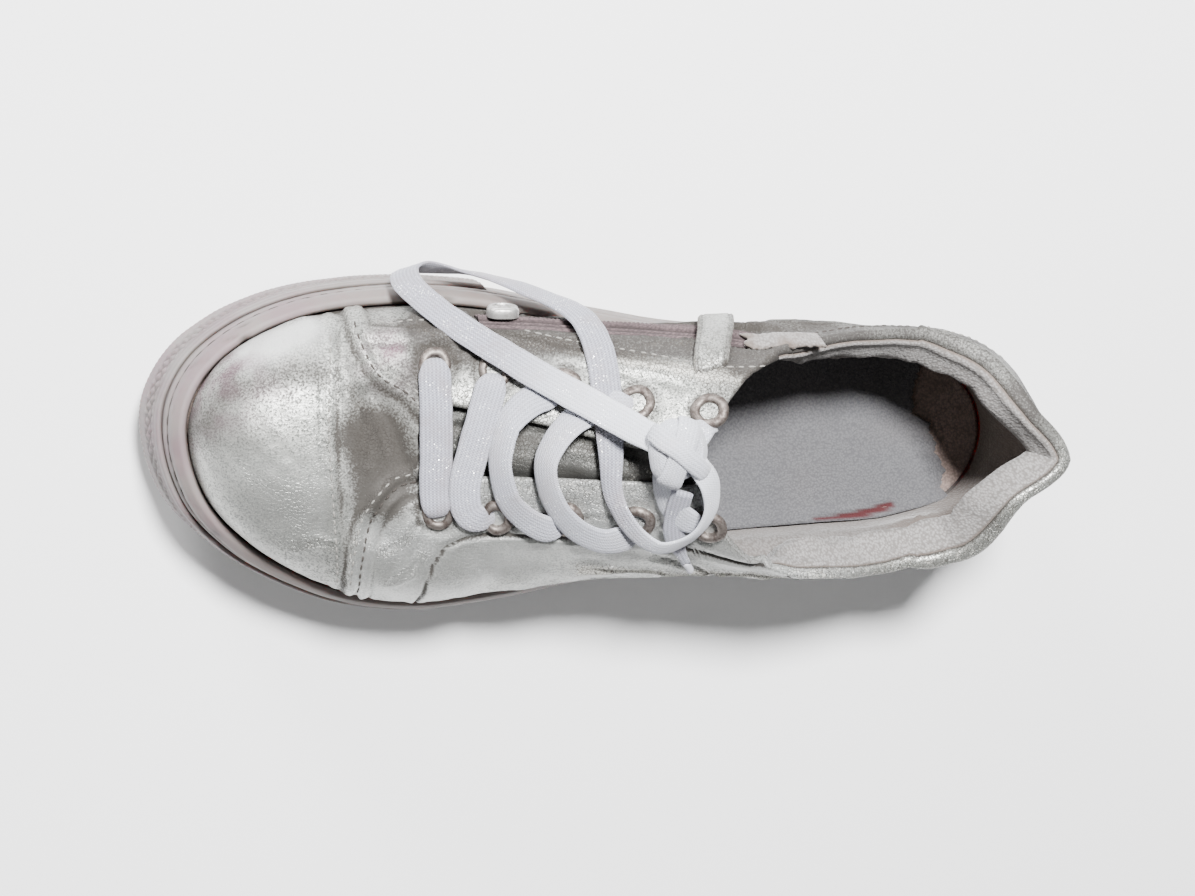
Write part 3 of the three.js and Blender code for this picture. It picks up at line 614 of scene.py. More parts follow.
# ---------------------------------------------------------------- seams, folds, wear, dirt, and painted light and shade of the upper
# Plan views (x, y) or side views (x, z) in millimetres.
TOE_SEAM = [
    (179.5, -50), (180.5, -47), (182.5, -30), (183.4, -12), (182.5, 8), (181, 30), (180, 44), (179, 48),
]
OUTER_STAY = [
    (20, -6), (150, -6), (160, -3.5), (163, -0.8), (168, 0.4), (173.4, 5.3), (177, 11), (178.8, 16),
    (180.2, 24), (180.9, 32), (181, 40), (181, 60), (20, 60),
]
INNER_STAY = [
    (20, 2), (150, -6), (158, -14), (164.3, -21.5), (170.9, -25.5), (174, -29), (176.4, -34),
    (178.4, -40), (178.9, -46), (178.9, -60), (176, -60), (172, -41.5), (157, -40.5), (136, -39),
    (114, -34.5), (90, -30.5), (76, -28), (60, -28), (20, -28),
]
OUTER_PANEL = [
    (160, 48), (157, 36.5), (155.4, 29), (152, 22.8), (146, 19.8), (135, 19.3), (118, 20), (100, 21),
    (84, 23.5), (72, 27), (60, 30.5),
]
OUTER_FLAKES = [(111, 60), (84, 63), (62, 71), (42, 66), (20, 52), (5.6, 41.5), (-6, 34)]
BACK_TAB = [(11, 90), (8.5, 68), (7, 60), (0, 55), (-14, 51.5), (-28, 49), (-60, 48.5), (-60, 90)]
COUNTER_FRONT = [(26, 30), (20, 44), (10, 56), (8, 60)]
INNER_SEAM = [(160, 36), (140, 39), (118, 40), (92, 44), (66, 54), (40, 62), (20, 60), (6, 54)]
ZIP_LINE = [(58, 69), (66, 63.5), (80, 57), (105, 52), (141, 47.5), (150, 46.5)]
# Soft folds: side (1 outer, -1 inner, 0 top), path, depth and half width. A negative depth is a ridge.
FOLDS = [
    (0, [(173, -22), (168.5, -11), (165, -3), (162.5, 3)], 3.0, 4.2),
    (0, [(181.5, -32), (176, -14), (172.5, 0), (172, 10)], -0.9, 3.0),
    (0, [(200, 14), (194, 24), (188, 31)], 0.35, 4.0),
    (0, [(214, -30), (203, -38), (192, -42)], -0.5, 5.0),
    (0, [(222, -6), (214, 8), (203, 12)], 0.45, 9.0),
    (0, [(176, 16), (166, 22), (158, 30)], 0.7, 3.6),
    (0, [(140, 27), (124, 29), (108, 30)], 0.8, 4.5),
    (1, [(100, 46.7), (78, 54), (52, 60.5)], 2.0, 7.0),
    (1, [(46, 59.6), (20, 48), (-5, 35)], 1.8, 6.0),
    (1, [(126, 40), (108, 52), (92, 61)], 1.2, 4.5),
    (1, [(70, 40), (46, 47), (28, 43)], -1.2, 7.0),
    (1, [(8, 62), (20, 56), (34, 58)], 1.0, 4.5),
    (1, [(150, 38), (140, 46), (134, 56)], 0.9, 3.6),
    (1, [(36, 66), (50, 70), (60, 76)], 1.0, 4.0),
    (-1, [(104, 43), (84, 47), (60, 54)], 1.3, 5.0),
    (-1, [(52, 48), (28, 52), (2, 44)], 1.6, 6.0),
    (-1, [(150, 40), (138, 38), (122, 40)], 1.0, 4.5),
    (-1, [(40, 66), (56, 68), (70, 72)], 0.8, 4.0),
    (-1, [(-6, 62), (8, 55), (22, 58)], 0.9, 5.0),
]
# Short sharp creases in the same terms: depth in millimetres.
CREASES = [
    (0, [(176, -19), (171, -13), (169, -6)], 0.5),
    (0, [(179, -24), (175.5, -18), (174, -10), (174.5, -3)], 0.45),
    (0, [(163, -36), (158, -33), (150, -33)], 0.35), (0, [(150, -31), (143, -33), (134, -33)], 0.35),
    (0, [(196, 22), (190, 20), (185, 22)], 0.3), (0, [(170, 24), (164, 21), (160, 15)], 0.35),
    (0, [(168, 34), (162, 31), (159, 26)], 0.3), (0, [(120, 12.5), (112, 13.5), (104, 12.6)], 0.35),
    (0, [(98, 13), (88, 15), (78, 20)], 0.4), (0, [(92, 26), (80, 30), (70, 36)], 0.5),
    (1, [(120, 44), (112, 50), (100, 54), (88, 55)], 0.7), (1, [(104, 38), (94, 45), (80, 50)], 0.6),
    (1, [(132, 38), (126, 46), (118, 52)], 0.5), (1, [(60, 66), (50, 62), (40, 55)], 0.6),
    (1, [(34, 62), (26, 56), (16, 50)], 0.6), (1, [(66, 60), (56, 66), (48, 70)], 0.4),
    (-1, [(124, 42), (112, 44), (98, 46)], 0.5), (-1, [(60, 60), (46, 56), (30, 56)], 0.5),
    (-1, [(40, 50), (26, 46), (14, 47)], 0.5), (-1, [(92, 60), (84, 63), (74, 70)], 0.5),
]
# Pink stains on the toe cap: middle in plan, radius and strength.
PINK_SPOTS = [
    ((166, -33), 7, 1.3), ((172, -30), 4, 0.7), ((223, -21), 9, 1.2), ((213, -30), 8, 0.8),
    ((228, -8), 6, 0.4), ((204, -27), 10, 0.3),
]


def polygon_depth(corners, x, y):
    """How far points lie inside a closed polygon, negative outside it."""
    ring = [*corners, corners[0]]
    inside = np.zeros(np.shape(x), bool)
    for (ax, ay), (bx, by) in zip(ring, ring[1:]):
        if ay == by:
            continue
        crosses = (ay > y) != (by > y)
        inside ^= crosses & (x < (bx - ax) * (y - ay) / (by - ay) + ax)
    far = distance_to(ring, x, y)
    return np.where(inside, far, -far)


def dip(distance, half_width):
    """1 where distance is 0, fading smoothly to nothing over about twice half_width."""
    return np.exp(-((distance / half_width) ** 2))


def eyelet_spots():
    """Names, places and frames of the eyelets before the bend: along, across and out of the face."""
    spots = []
    for i in range(EYELETS):
        for name, side in (("lateral", 1), ("medial", -1)):
            x = EYELET_FIRST_X - i * EYELET_PITCH
            c = side_columns(np.array([x]), side)
            z = c.height_at(open_half(x) + EYELET_INSET)
            at = on_face(x, z, side)[0]
            out = on_face(x, z, side, 1.0)[0] - at
            along = unit(on_face(x + 1, z, side)[0] - on_face(x - 1, z, side)[0])
            spots.append((f"eyelet_{name}_{i + 1}", at, along, unit(np.cross(out, along)), out))
    return spots


EYELET_SPOTS = eyelet_spots()
EYELET_AT = bend(np.array([spot[1] for spot in EYELET_SPOTS]))


class Skin:
    """Bent points of the upper's face, the relief over them, and the values that its leather reads there."""

    def __init__(self, p, outer):
        self.p, self.outer = p, outer
        self.x, self.y, self.z = p[..., 0], p[..., 1], p[..., 2]
        x, y = self.x, self.y
        self.side = {0: np.ones_like(x), 1: smoothstep(-2, 4, np.where(outer, y + 6, -9)),
                     -1: smoothstep(-2, 4, np.where(outer, -9, -y - 6))}
        self.height = 0.55 * lumps(p, 26, 1) * smoothstep(235, 190, x) + 0.22 * lumps(p, 9, 2)
        self.height += 0.10 * lumps(p, 3.6, 3) + 0.05 * lumps(p, 1.7, 4)
        self.wear = 0.10 + 0.10 * lumps(p, 12, 5)
        self.grime_and_shade = 0.05 + 0.06 * lumps(p, 14, 6)
        self.pink, self.pale, self.painted_shade = np.zeros_like(x), np.zeros_like(x), np.zeros_like(x)

    def plan(self, path, uneven=0.0, size=1.0, seed=0):
        """Distance from a path of (x, y), made uneven by lumps."""
        return distance_to(path, self.x, self.y) + uneven * lumps(self.p, size, seed)

    def profile(self, path, uneven=0.0, size=1.0, seed=0):
        """Distance from a path of (x, z), made uneven by lumps."""
        return distance_to(path, self.x, self.z) + uneven * lumps(self.p, size, seed)

    def marks(self):
        """The values that the leather's material reads."""
        most = {"wear": 1.4, "grime_and_shade": 1.4, "pink": 1, "pale": 1, "painted_shade": 1}
        return {key: np.clip(getattr(self, key), 0, high) for key, high in most.items()}


def fold_leather(skin):
    """Soft folds and sharp creases, with the foil worn off their crests."""
    for which, path, depth, wide in FOLDS:
        d = skin.profile(path) if which else skin.plan(path)
        skin.height -= depth * dip(d, wide) * skin.side[which]
        skin.wear += 0.10 * dip(np.abs(d - wide), 1.6) * skin.side[which]
    for which, path, depth in CREASES:
        d = (skin.profile if which else skin.plan)(path, 0.25, 2.5, 8)
        skin.height += (0.45 * dip(d - 1.5, 0.8) - depth * dip(d, 0.55)) * skin.side[which]
        skin.wear += 0.30 * dip(d - 1.0, 0.9) * skin.side[which]
        skin.grime_and_shade += 0.30 * dip(d, 0.5) * skin.side[which]


def raise_toe_cap(skin):
    """The toe cap stands a little higher than the vamp behind it, with a row of stitches along its seam."""
    seam = skin.plan(TOE_SEAM)
    seam_x, seam_y = zip(*TOE_SEAM)
    ahead = skin.x > np.interp(skin.y, seam_y, seam_x)
    skin.height += 0.30 * ahead - 0.55 * dip(seam, 0.75) + 0.28 * dip(seam - 2.4, 1.3) * ahead
    skin.height -= 0.20 * dip(seam - 4.6, 0.7) * ahead
    skin.grime_and_shade += 0.50 * dip(seam, 0.7) + 0.18 * dip(seam - 3.0, 2.4) * (skin.y < -8)


def raise_eyestays(skin):
    """The eyestays lie on the vamp, with a rolled edge and a raised ridge between two rows of stitches."""
    for stay, half in ((OUTER_STAY, skin.outer), (INNER_STAY, ~skin.outer)):
        depth = polygon_depth(stay, skin.x, skin.y)
        here = half * smoothstep(-62, -52, -np.abs(skin.y))
        on = smoothstep(-0.5, 0.5, depth)
        front = smoothstep(138, 146, skin.x)
        edge = front if stay is OUTER_STAY else np.maximum(front, 0.75 * smoothstep(62, 70, skin.x))
        skin.height += here * edge * on * (0.95 + 0.55 * dip(depth - 1.9, 1.5) - 0.85 * dip(depth - 4.4, 0.8))
        if stay is OUTER_STAY:
            skin.height += here * front * (0.75 * dip(depth - 6.2, 1.0) - 0.55 * dip(depth - 8.2, 0.8))
            skin.grime_and_shade += here * front * 0.5 * dip(depth - 8.2, 0.7)
        skin.grime_and_shade += here * edge * (0.75 * dip(depth + 0.5, 0.9) + 0.35 * dip(depth - 4.4, 0.6))
        skin.wear += here * edge * 0.42 * dip(depth - 0.8, 0.8)


def seam_sides(skin):
    """The outer panel's narrow seam, the flaking crease behind it, and the inner side's seams."""
    outer, inner = skin.side[1], skin.side[-1]
    d = skin.plan(OUTER_PANEL)
    skin.height += outer * (0.35 * dip(d - 1.4, 0.9) - 0.9 * dip(d, 0.6))
    skin.grime_and_shade += outer * 1.5 * dip(d, 0.6)
    d = skin.profile(OUTER_FLAKES, 0.8, 4, 9)
    skin.height += outer * (0.5 * dip(d - 1.5, 1.4) - 0.5 * dip(d, 0.8))
    skin.wear += outer * 0.95 * dip(d, 2.6)
    d = skin.profile(INNER_SEAM)
    skin.height += inner * (0.25 * dip(d - 1.2, 0.9) - 0.55 * dip(d, 0.5))
    skin.grime_and_shade += inner * 0.4 * dip(d, 0.5)
    d = skin.plan(INNER_STAY[11:18], 0.7, 3, 10)
    skin.wear += inner * 0.9 * dip(d, 2.4) * smoothstep(150, 130, skin.x)


def raise_back_tab(skin):
    """The back tab goes round the heel over both sides, behind the counter's seam."""
    depth = polygon_depth(BACK_TAB, skin.x, skin.z)
    skin.height += 0.95 * smoothstep(-0.4, 0.4, depth) - 0.28 * dip(depth - 2.6, 0.6) * (depth > 0)
    skin.grime_and_shade += 0.7 * dip(depth + 0.4, 0.7)
    d = skin.profile(COUNTER_FRONT)
    skin.height -= 0.35 * dip(d, 0.7)
    skin.grime_and_shade += 0.25 * dip(d, 0.6)


def cut_zip_slot(skin):
    """The zip's slot is bordered by two folded edges."""
    x, d = skin.x, np.where(skin.outer, 1e3, skin.profile(ZIP_LINE))
    skin.height += 0.7 * dip(d - 8.0, 1.4) - 0.5 * dip(d - 11.5, 1.2)
    slot = smoothstep(6.4, 5.7, d) * smoothstep(56, 60, x) * smoothstep(142.5, 141.5, x)
    skin.height -= (skin.height + 2.1) * slot
    # The first term darkens the slot's edges; the broad second term is painted shadow along the zip.
    skin.grime_and_shade += 0.7 * dip(d - 6.0, 1.3) + 0.35 * dip(d, 11.0)
    skin.wear += 0.35 * dip(d - 9.4, 1.0)


def draw_in_eyelets(skin):
    """Rims of the eyelets pull the leather in, with painted shade in the dent round each rim."""
    near = np.linalg.norm(skin.p[..., None, :] - EYELET_AT, axis=-1).min(-1)
    skin.height -= 0.55 * dip(near - 5.9, 1.4)
    skin.grime_and_shade += 0.60 * dip(near - 6.0, 1.4)


def dirt_and_painted_shade_on_leather(skin):
    """Dirt above the rubber, painted shade in the vamp's fold, on the toe cap and at the inner collar, a
    darker patch at the outer collar's front, and the pink stains.
    """
    x, y, p = skin.x, skin.y, skin.p
    low = skin.z - bend(np.stack([x, y, np.full_like(x, RIM_Z)], -1))[..., 2]
    skin.grime_and_shade += 0.85 * smoothstep(2.6, 0.0, low) + 0.22 * smoothstep(12, 0, low)
    skin.wear += 0.35 * dip(low - 4.0, 3.0) * smoothstep(-0.3, 0.5, lumps(p, 9, 12))
    # Painted shade in the deep fold of the vamp.
    pocket = skin.plan([(172, -10), (170, -2), (170.5, 4)], 1.2, 6, 14)
    skin.grime_and_shade += 1.7 * dip(pocket, 8) + 0.35 * dip(pocket, 15)
    # Painted shade: a dark band on the toe cap beside its painted highlight.
    skin.grime_and_shade += 0.50 * dip(skin.plan([(224, -12), (214, -23), (203, -28), (190, -29)], 1.5, 5, 15), 5.0)
    # Painted shade at the inner collar. The line after it darkens the outer collar's front.
    skin.grime_and_shade += 0.55 * skin.side[-1] * dip(skin.profile([(46, 62), (20, 62), (-4, 64)]), 6.0)
    skin.grime_and_shade += 0.35 * skin.side[1] * dip(skin.profile([(84, 66), (70, 64), (62, 62)]), 7.0)
    spotty = smoothstep(-0.6, 0.5, lumps(p, 4, 13))
    for (spot_x, spot_y), radius, strength in PINK_SPOTS:
        skin.pink += strength * dip(np.hypot(x - spot_x, y - spot_y), radius) * spotty


def paint_light_and_shade_on_foil(skin):
    """Painted light on the foil's outer side and a painted highlight at the toe's inner front, and painted
    shade on its inner side, vamp and toe cap.
    """
    x, y, z = skin.x, skin.y, skin.z
    outer, inner = skin.side[1], skin.side[-1]
    mottled = smoothstep(-0.9, 0.6, lumps(skin.p, 10, 16))
    # Painted light: the outer side and the toe cap's outer half are paler, as if lit.
    skin.pale += 0.75 * outer * smoothstep(186, 174, x) * smoothstep(20, 36, x) * (0.45 + 0.55 * mottled)
    skin.pale += 0.22 * smoothstep(184, 188, x) * smoothstep(-14, 0, y)
    # Painted highlight along the toe cap's inner front.
    skin.pale += 1.5 * dip(skin.plan([(206, -36), (200, -39.5), (192, -41)], 1.3, 5, 17), 5.5)
    # A paler mottled patch on the inner side.
    skin.pale += 0.4 * inner * dip(np.hypot(x - 118, y + 30), 12) * mottled
    # Painted shade: the inner quarter at the heel, a band round the zip, a patch behind the toe cap's inner
    # side, the lower inner side, the vamp, and a band on the toe cap.
    quarter = smoothstep(84, 60, x) * smoothstep(34, 14, np.abs(z - 64))
    skin.painted_shade += 1.1 * inner * quarter * (0.55 + 0.45 * mottled)
    zip_x, zip_z = zip(*ZIP_LINE)
    over = z > np.interp(x, zip_x, zip_z)
    skin.painted_shade += inner * smoothstep(np.where(over, 17, 13), np.where(over, 12, 8.5), skin.profile(ZIP_LINE))
    skin.painted_shade += 0.6 * dip(np.hypot(x - 162, y + 36), 13) * mottled
    skin.painted_shade += 0.55 * inner * smoothstep(160, 148, x) * smoothstep(60, 46, z) * (0.4 + 0.6 * mottled)
    vamp = smoothstep(150, 160, x) * smoothstep(184, 178, x) * smoothstep(-36, -26, y) * smoothstep(10, -2, y)
    skin.painted_shade += 0.55 * vamp
    skin.painted_shade += 0.55 * dip(skin.plan([(224, -12), (214, -24), (203, -29), (190, -31)], 1.3, 5, 18), 5.0)


def relief(p, outer):
    """Height of the leather's relief at bent points, and the values that its material reads."""
    skin = Skin(p, outer)
    for shape in (fold_leather, raise_toe_cap, raise_eyestays, seam_sides, raise_back_tab, cut_zip_slot,
                  draw_in_eyelets, dirt_and_painted_shade_on_leather, paint_light_and_shade_on_foil):
        shape(skin)
    return skin.height, skin.marks()


# ---------------------------------------------------------------- upper
OUTER_ROWS, INNER_ROWS, EDGE_ROWS, SEAM_ROW = ((62, 40, 9, 5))
COLLAR_END = 57


def columns_round(heel_steps, side, toe_steps):
    """Columns at stations along both sides, and fanned round the toe and, with any heel steps, the heel."""
    heel = np.linspace(math.pi, math.pi / 2, heel_steps, endpoint=False)
    toe = np.linspace(math.pi / 2, -math.pi / 2, toe_steps)[1:-1]
    back = heel[:0:-1]
    x = np.concatenate([np.full(len(heel), SPINE_BACK), side, np.full(len(toe), SPINE_FRONT), side[::-1],
                        np.full(len(back), SPINE_BACK)])
    across = np.full(len(side), math.pi / 2)
    angle = np.concatenate([heel, across, toe, -across, -back])
    return Columns(x, spine_y(x), angle)


def upper_columns():
    round_end = THROAT_FRONT - THROAT_ROUND * (1 - np.cos(np.linspace(math.pi / 2, 0, 14)))
    side = [np.arange(SPINE_BACK, THROAT_FRONT - THROAT_ROUND, 1.25), round_end,
            np.arange(THROAT_FRONT + 1.2, SPINE_FRONT, 1.2), [SPINE_FRONT]]
    return columns_round(21, np.concatenate(side), 61)


def even_heights(c, rows):
    """Heights from the cup to the free edge, evenly spaced along each column's face."""
    share = np.sin(np.linspace(0, math.pi / 2, 240))
    top = c.edge_z()
    z = SHOULDER_Z - 1.6 + (top - SHOULDER_Z + 1.6) * share[:, None]
    p = c.place(c.out_at(z), z)
    runs = [run_along(p[:, i]) for i in range(z.shape[1])]
    return np.stack([np.interp(np.linspace(0, run[-1], rows), run, z[:, i]) for i, run in enumerate(runs)], 1)


def without_unused(points, faces, values):
    """The points that the faces use, the faces renumbered, and the values of those points."""
    kept, renumbered = np.unique(faces, return_inverse=True)
    values = {key: np.asarray(v)[kept] for key, v in values.items()}
    return np.asarray(points).reshape(-1, 3)[kept], renumbered.reshape(faces.shape), values


def outer_face(c, z, closed):
    """The leather's bent face before its relief, the way out of it, the relief's height and the marks."""
    share = np.linspace(0, 1, OUTER_ROWS)
    p = bend(c.place(c.out_at(z), z))
    normal = normals_of(p, True)
    ahead, behind = (bend(np.stack([c.x + step, spine_y(c.x), ridge_z(c.x + step)], -1)) for step in (1, -1))
    along = ahead - behind
    up = unit(np.stack([-along[:, 2], np.zeros_like(c.x), along[:, 0]], -1))
    normal[-1] = np.where(closed[:, None], up, normal[-1])
    blend = smoothstep(0.86, 1.0, share)[:, None, None] * closed[None, :, None]
    normal = unit(normal * (1 - blend) + up * blend)
    height, marks = relief(p, ~np.broadcast_to(c.inner, z.shape))
    open_edge = smoothstep(3.5, 0, c.edge_z() - z) * ~closed
    marks["wear"] = marks["wear"] + open_edge * 0.35 * (1 - marks["painted_shade"])
    at_heel = smoothstep(16, -10, c.along) * (0.55 + 0.45 * np.abs(c.wy))
    draw_in = 1.6 * smoothstep(52, 82, p[..., 2]) * at_heel
    return p - normal * draw_in[..., None], normal, height * smoothstep(0, 0.03, share)[:, None], marks


def inner_face(c, z, p, normal, height):
    """The lining, which sags a little and is rolled in at the collar."""
    sag = 0.5 * lumps(p, 15, 21) + 0.25 * lumps(p, 6, 22)
    collar = (1 - smoothstep(52, 66, c.x)) * smoothstep(PAD_DEPTH, 4, c.edge_z() - z)
    deep = wall_thick(c, z) - 0.3 - np.minimum(height, 0) - (0.5 + 0.5 * collar) * sag
    roll = dip(c.edge_z() - z - 7.5, 6.5) * (1 - smoothstep(46, 60, c.x)) * (0.7 + 0.3 * np.abs(c.wy))
    inside = p - normal * deep[..., None]
    return inside - normal * (np.where(c.inner, 3.4, 5.4) * roll * (1 + 0.25 * lumps(p, 7, 23)))[..., None]


def rolled_edge(c, skin, inside):
    """The rounded edge from the leather's last row to the lining's, with a seam in it at the collar."""
    tangent = unit(skin[-1] - skin[-2])
    middle, half = (skin[-1] + inside[-1]) / 2, (skin[-1] - inside[-1]) / 2
    turn = np.linspace(0, math.pi, EDGE_ROWS + 2)[1:-1, None, None]
    bulge = np.linalg.norm(half, axis=-1, keepdims=True) * np.where(c.x < COLLAR_END, 0.5, 0.8)[:, None]
    edge = middle + half * np.cos(turn) + tangent * bulge * np.sin(turn)
    edge[SEAM_ROW] -= tangent * np.where(c.x < COLLAR_END, 0.75, 0)[:, None]
    return edge


def upper_marks(c, from_edge, marks):
    """Marks of the leather, its edge, its lining, whose rows lie from_edge below the edge, and its foot."""
    count = len(c.x)
    inside = {key: np.zeros((len(from_edge) + 1, count)) for key in marks}
    edge = {key: np.repeat(v[-1:], EDGE_ROWS, 0) for key, v in marks.items()}
    deep = smoothstep(11, 24, from_edge) * (0.35 + 0.65 * smoothstep(18, -4, c.along))
    inside["grime_and_shade"] = np.concatenate([0.06 + 0.85 * deep, np.full((1, count), 0.9)])
    seam = 0.95 * (np.arange(EDGE_ROWS) == SEAM_ROW)[:, None]
    edge["grime_and_shade"] = np.where(c.x < COLLAR_END, 0.14 + seam, 0.5)
    return {key: np.concatenate([marks[key], edge[key], inside[key]]).ravel() for key in marks}


def make_upper():
    """The leather shell with its lining, and as a piece of its own the padded lining at the collar."""
    c = upper_columns()
    z = even_heights(c, OUTER_ROWS)
    closed = (open_half(c.x) <= 0) & (c.x >= THROAT_FRONT - 0.01)
    p, normal, height, marks = outer_face(c, z, closed)
    skin = p + normal * height[..., None]
    inside = inner_face(c, z, p, normal, height)
    foot = inside[:1].copy()
    foot[..., 2] = bend(c.place(c.out_at(z[:1]), UPPER_LOW + 4.4))[..., 2]
    pick = np.unique(np.round(np.linspace(0, OUTER_ROWS - 1, INNER_ROWS)).astype(int))[::-1]
    rows = np.concatenate([skin, rolled_edge(c, skin, inside), inside[pick], foot])
    values = upper_marks(c, (c.edge_z() - z)[pick], marks)

    count = rows.shape[1]
    faces = grid_faces(len(rows), count, wrap_cols=True)
    row, col = np.divmod(faces[:, 0], count)
    shut = closed[col] & closed[(col + 1) % count] & (row >= OUTER_ROWS - 1) & (row < OUTER_ROWS + EDGE_ROWS)
    on_collar = (c.x < COLLAR_END)[col]
    lined = row >= OUTER_ROWS + np.where(on_collar, SEAM_ROW, EDGE_ROWS)
    faces, lined, padded = faces[~shut][:, ::-1], lined[~shut], (on_collar & lined)[~shut]
    points, leather_faces, leather_marks = without_unused(rows, faces[~padded], values)
    upper = make_piece("upper_leather", points, leather_faces, [LEATHER, LINING], ["upper"],
                       lined[~padded].astype(int), leather_marks, merge=0.02)
    points, pad_faces, pad_marks = without_unused(rows, faces[padded], values)
    collar = make_piece("collar_padding", points, pad_faces, [LINING], marks=pad_marks,
                        merge=0.02)
    return upper, collar


# ---------------------------------------------------------------- sole
RIBS = [8.4, 12.5, 16.6, 20.7, 24.8]
STITCH_GROOVE = 25.6
BUMPER_BACK, BUMPER_HIGH, BUMPER_THICK = 133.0, 21.3, 1.8


def sole_columns(step, turn, first=None):
    """Columns round the sole, or only round the toe, in front of first."""
    side = np.arange(SPINE_BACK if first is None else first, SPINE_FRONT + 0.01, step)
    return columns_round(24 if first is None else 0, side, turn * 2 + 1)


def run_round(c):
    """Length along the outline at each column."""
    return run_along(c.place(c.reach, 0.0))


def rubber_marks(p):
    """Dirt and tint of the rubber: dirtier in low places and at the leather, pink at the toe's inner side."""
    x, y = p[..., 0], p[..., 1]
    grime_and_shade = 0.10 + 0.14 * lumps(p, 12, 31) + 0.10 * lumps(p, 3, 32)
    pink = 0.55 * dip(np.hypot(x - 232, y + 30), 34) + 0.30 * dip(np.hypot(x - 190, y + 52), 26)
    pink += 0.25 * dip(np.hypot(x - 228, y - 14), 26)
    warm = 0.35 + 0.4 * lumps(p, 25, 33)
    return grime_and_shade, pink, warm


def make_midsole():
    c = sole_columns(1.5, 40)
    low, wall = OUTSOLE_THICK + GAP, []
    step = 0.36
    for z in np.arange(low, 30.9, step):
        rim = np.interp(z, [low, low + 1, 22, 27, 29.4, 30.6, 30.9], [0.4, 0, 0, 0.4, 0.8, 1.4, 1.7])
        cut = sum(0.55 * math.exp(-(((z - g) / 0.32) ** 2)) for g in RIBS)
        cut += 0.55 * math.exp(-(((z - STITCH_GROOVE) / 0.45) ** 2))
        below = max([low, *[g for g in (*RIBS, STITCH_GROOVE) if g <= z]])
        above = min([31.6, *[g for g in (*RIBS, STITCH_GROOVE) if g > z]])
        crown = 0.30 * (1 - (2 * (z - below) / (above - below) - 1) ** 2)
        wall.append((rim + cut - crown, z, cut))
    turn = np.linspace(0, math.pi / 2, 5)[1:]
    wall += [(1.7 + 1.4 * (1 - math.cos(t)), 30.9 + 1.1 * math.sin(t), 0.1) for t in turn]
    wall += [(3.9, 32.05, 0.15), (4.5, 31.8, 0.35), (4.85, 31.2, 0.6), (5.0, 30.2, 0.9), (5.0, 16.2, 0.9),
             (14, 16, 0.9)]
    profile = np.array([(14, low, 0.5), *wall])
    inset, z, dirt = (profile[:, k][:, None] for k in range(3))
    rake = HEEL_RAKE * smoothstep(-8, -38, c.along) * (1 - z / RIM_Z) ** 2
    flat = c.place(c.reach - inset - np.where(inset < RIM_THICK, rake, 0), z)
    p = bend(flat)
    normal = normals_of(p, True)
    shown = (inset < 4.9) & (z > low + 0.5)
    uneven = 0.16 * lumps(p, 22, 34) + 0.09 * lumps(p, 6, 35) + 0.04 * lumps(p, 1.8, 36)
    nick = smoothstep(0.55, 0.9, lumps(p * [1, 1, 2], 5, 37))
    uneven -= 0.35 * nick * (z > 26) + 0.18 * nick
    p = p + normal * (uneven * shown)[..., None]
    grime_and_shade, pink, warm = rubber_marks(p)
    grime_and_shade += 0.62 * np.clip(dirt / 0.55, 0, 1) ** 2 * (0.75 + 0.45 * lumps(p, 8, 38))
    grime_and_shade += 0.5 * (dirt > 0.5) * (z > 29)
    grime_and_shade += 0.5 * nick + 0.55 * smoothstep(7, 4, z) * smoothstep(-0.2, 0.6, lumps(p, 18, 39))
    grime_and_shade += 0.8 * dip(z - BUMPER_HIGH - 0.6, 0.9) * smoothstep(BUMPER_BACK - 1, BUMPER_BACK + 1, p[..., 0])
    grime_and_shade += 0.9 * smoothstep(3.6, 4.6, inset) * (z > 28)
    warm += 0.5 * smoothstep(26, 31, z)
    marks = {"grime_and_shade": np.clip(grime_and_shade, 0, 1.3), "pink": np.clip(pink, 0, 1), "warm": np.clip(warm, 0, 1)}
    faces = grid_faces(len(p), p.shape[1], wrap_cols=True)[:, ::-1]
    make_piece("midsole_cup", p, faces, [RUBBER], ["midsole"], marks=marks)
    make_foxing_stitches(c)


def make_foxing_stitches(c):
    """Long thread stitches in the groove round the cup."""
    s = run_round(c)
    total = s[-1] + np.linalg.norm(c.place(c.reach, 0.0)[0] - c.place(c.reach, 0.0)[-1])
    starts = np.arange(2.0, total - 4, 5.6)
    rng = np.random.default_rng(7)
    pieces = []
    for start in starts + rng.uniform(-0.4, 0.4, len(starts)):
        at = np.linspace(start, start + rng.uniform(3.2, 4.2), 5)
        reach = [np.interp(at, s, v) for v in (c.x, c.y, c.wx, c.wy, c.reach, c.along)]
        rake = HEEL_RAKE * smoothstep(-8, -38, reach[5]) * (1 - STITCH_GROOVE / RIM_Z) ** 2
        out = reach[4] - 0.62 - rake
        line = np.stack([reach[0] + reach[2] * out, reach[1] + reach[3] * out,
                         np.full(5, STITCH_GROOVE + rng.uniform(-0.08, 0.08))], -1)
        pieces.append(bend(line))
    capsules("foxing_stitches", pieces, 0.46, [DARK_THREAD])


def tube_faces(rings, sides):
    """Faces of a tube of rings of points, closed at both ends."""
    last = (rings - 1) * sides
    return [*grid_faces(rings, sides, wrap_cols=True).tolist(), [*range(sides)][::-1],
            [*range(last, last + sides)]]


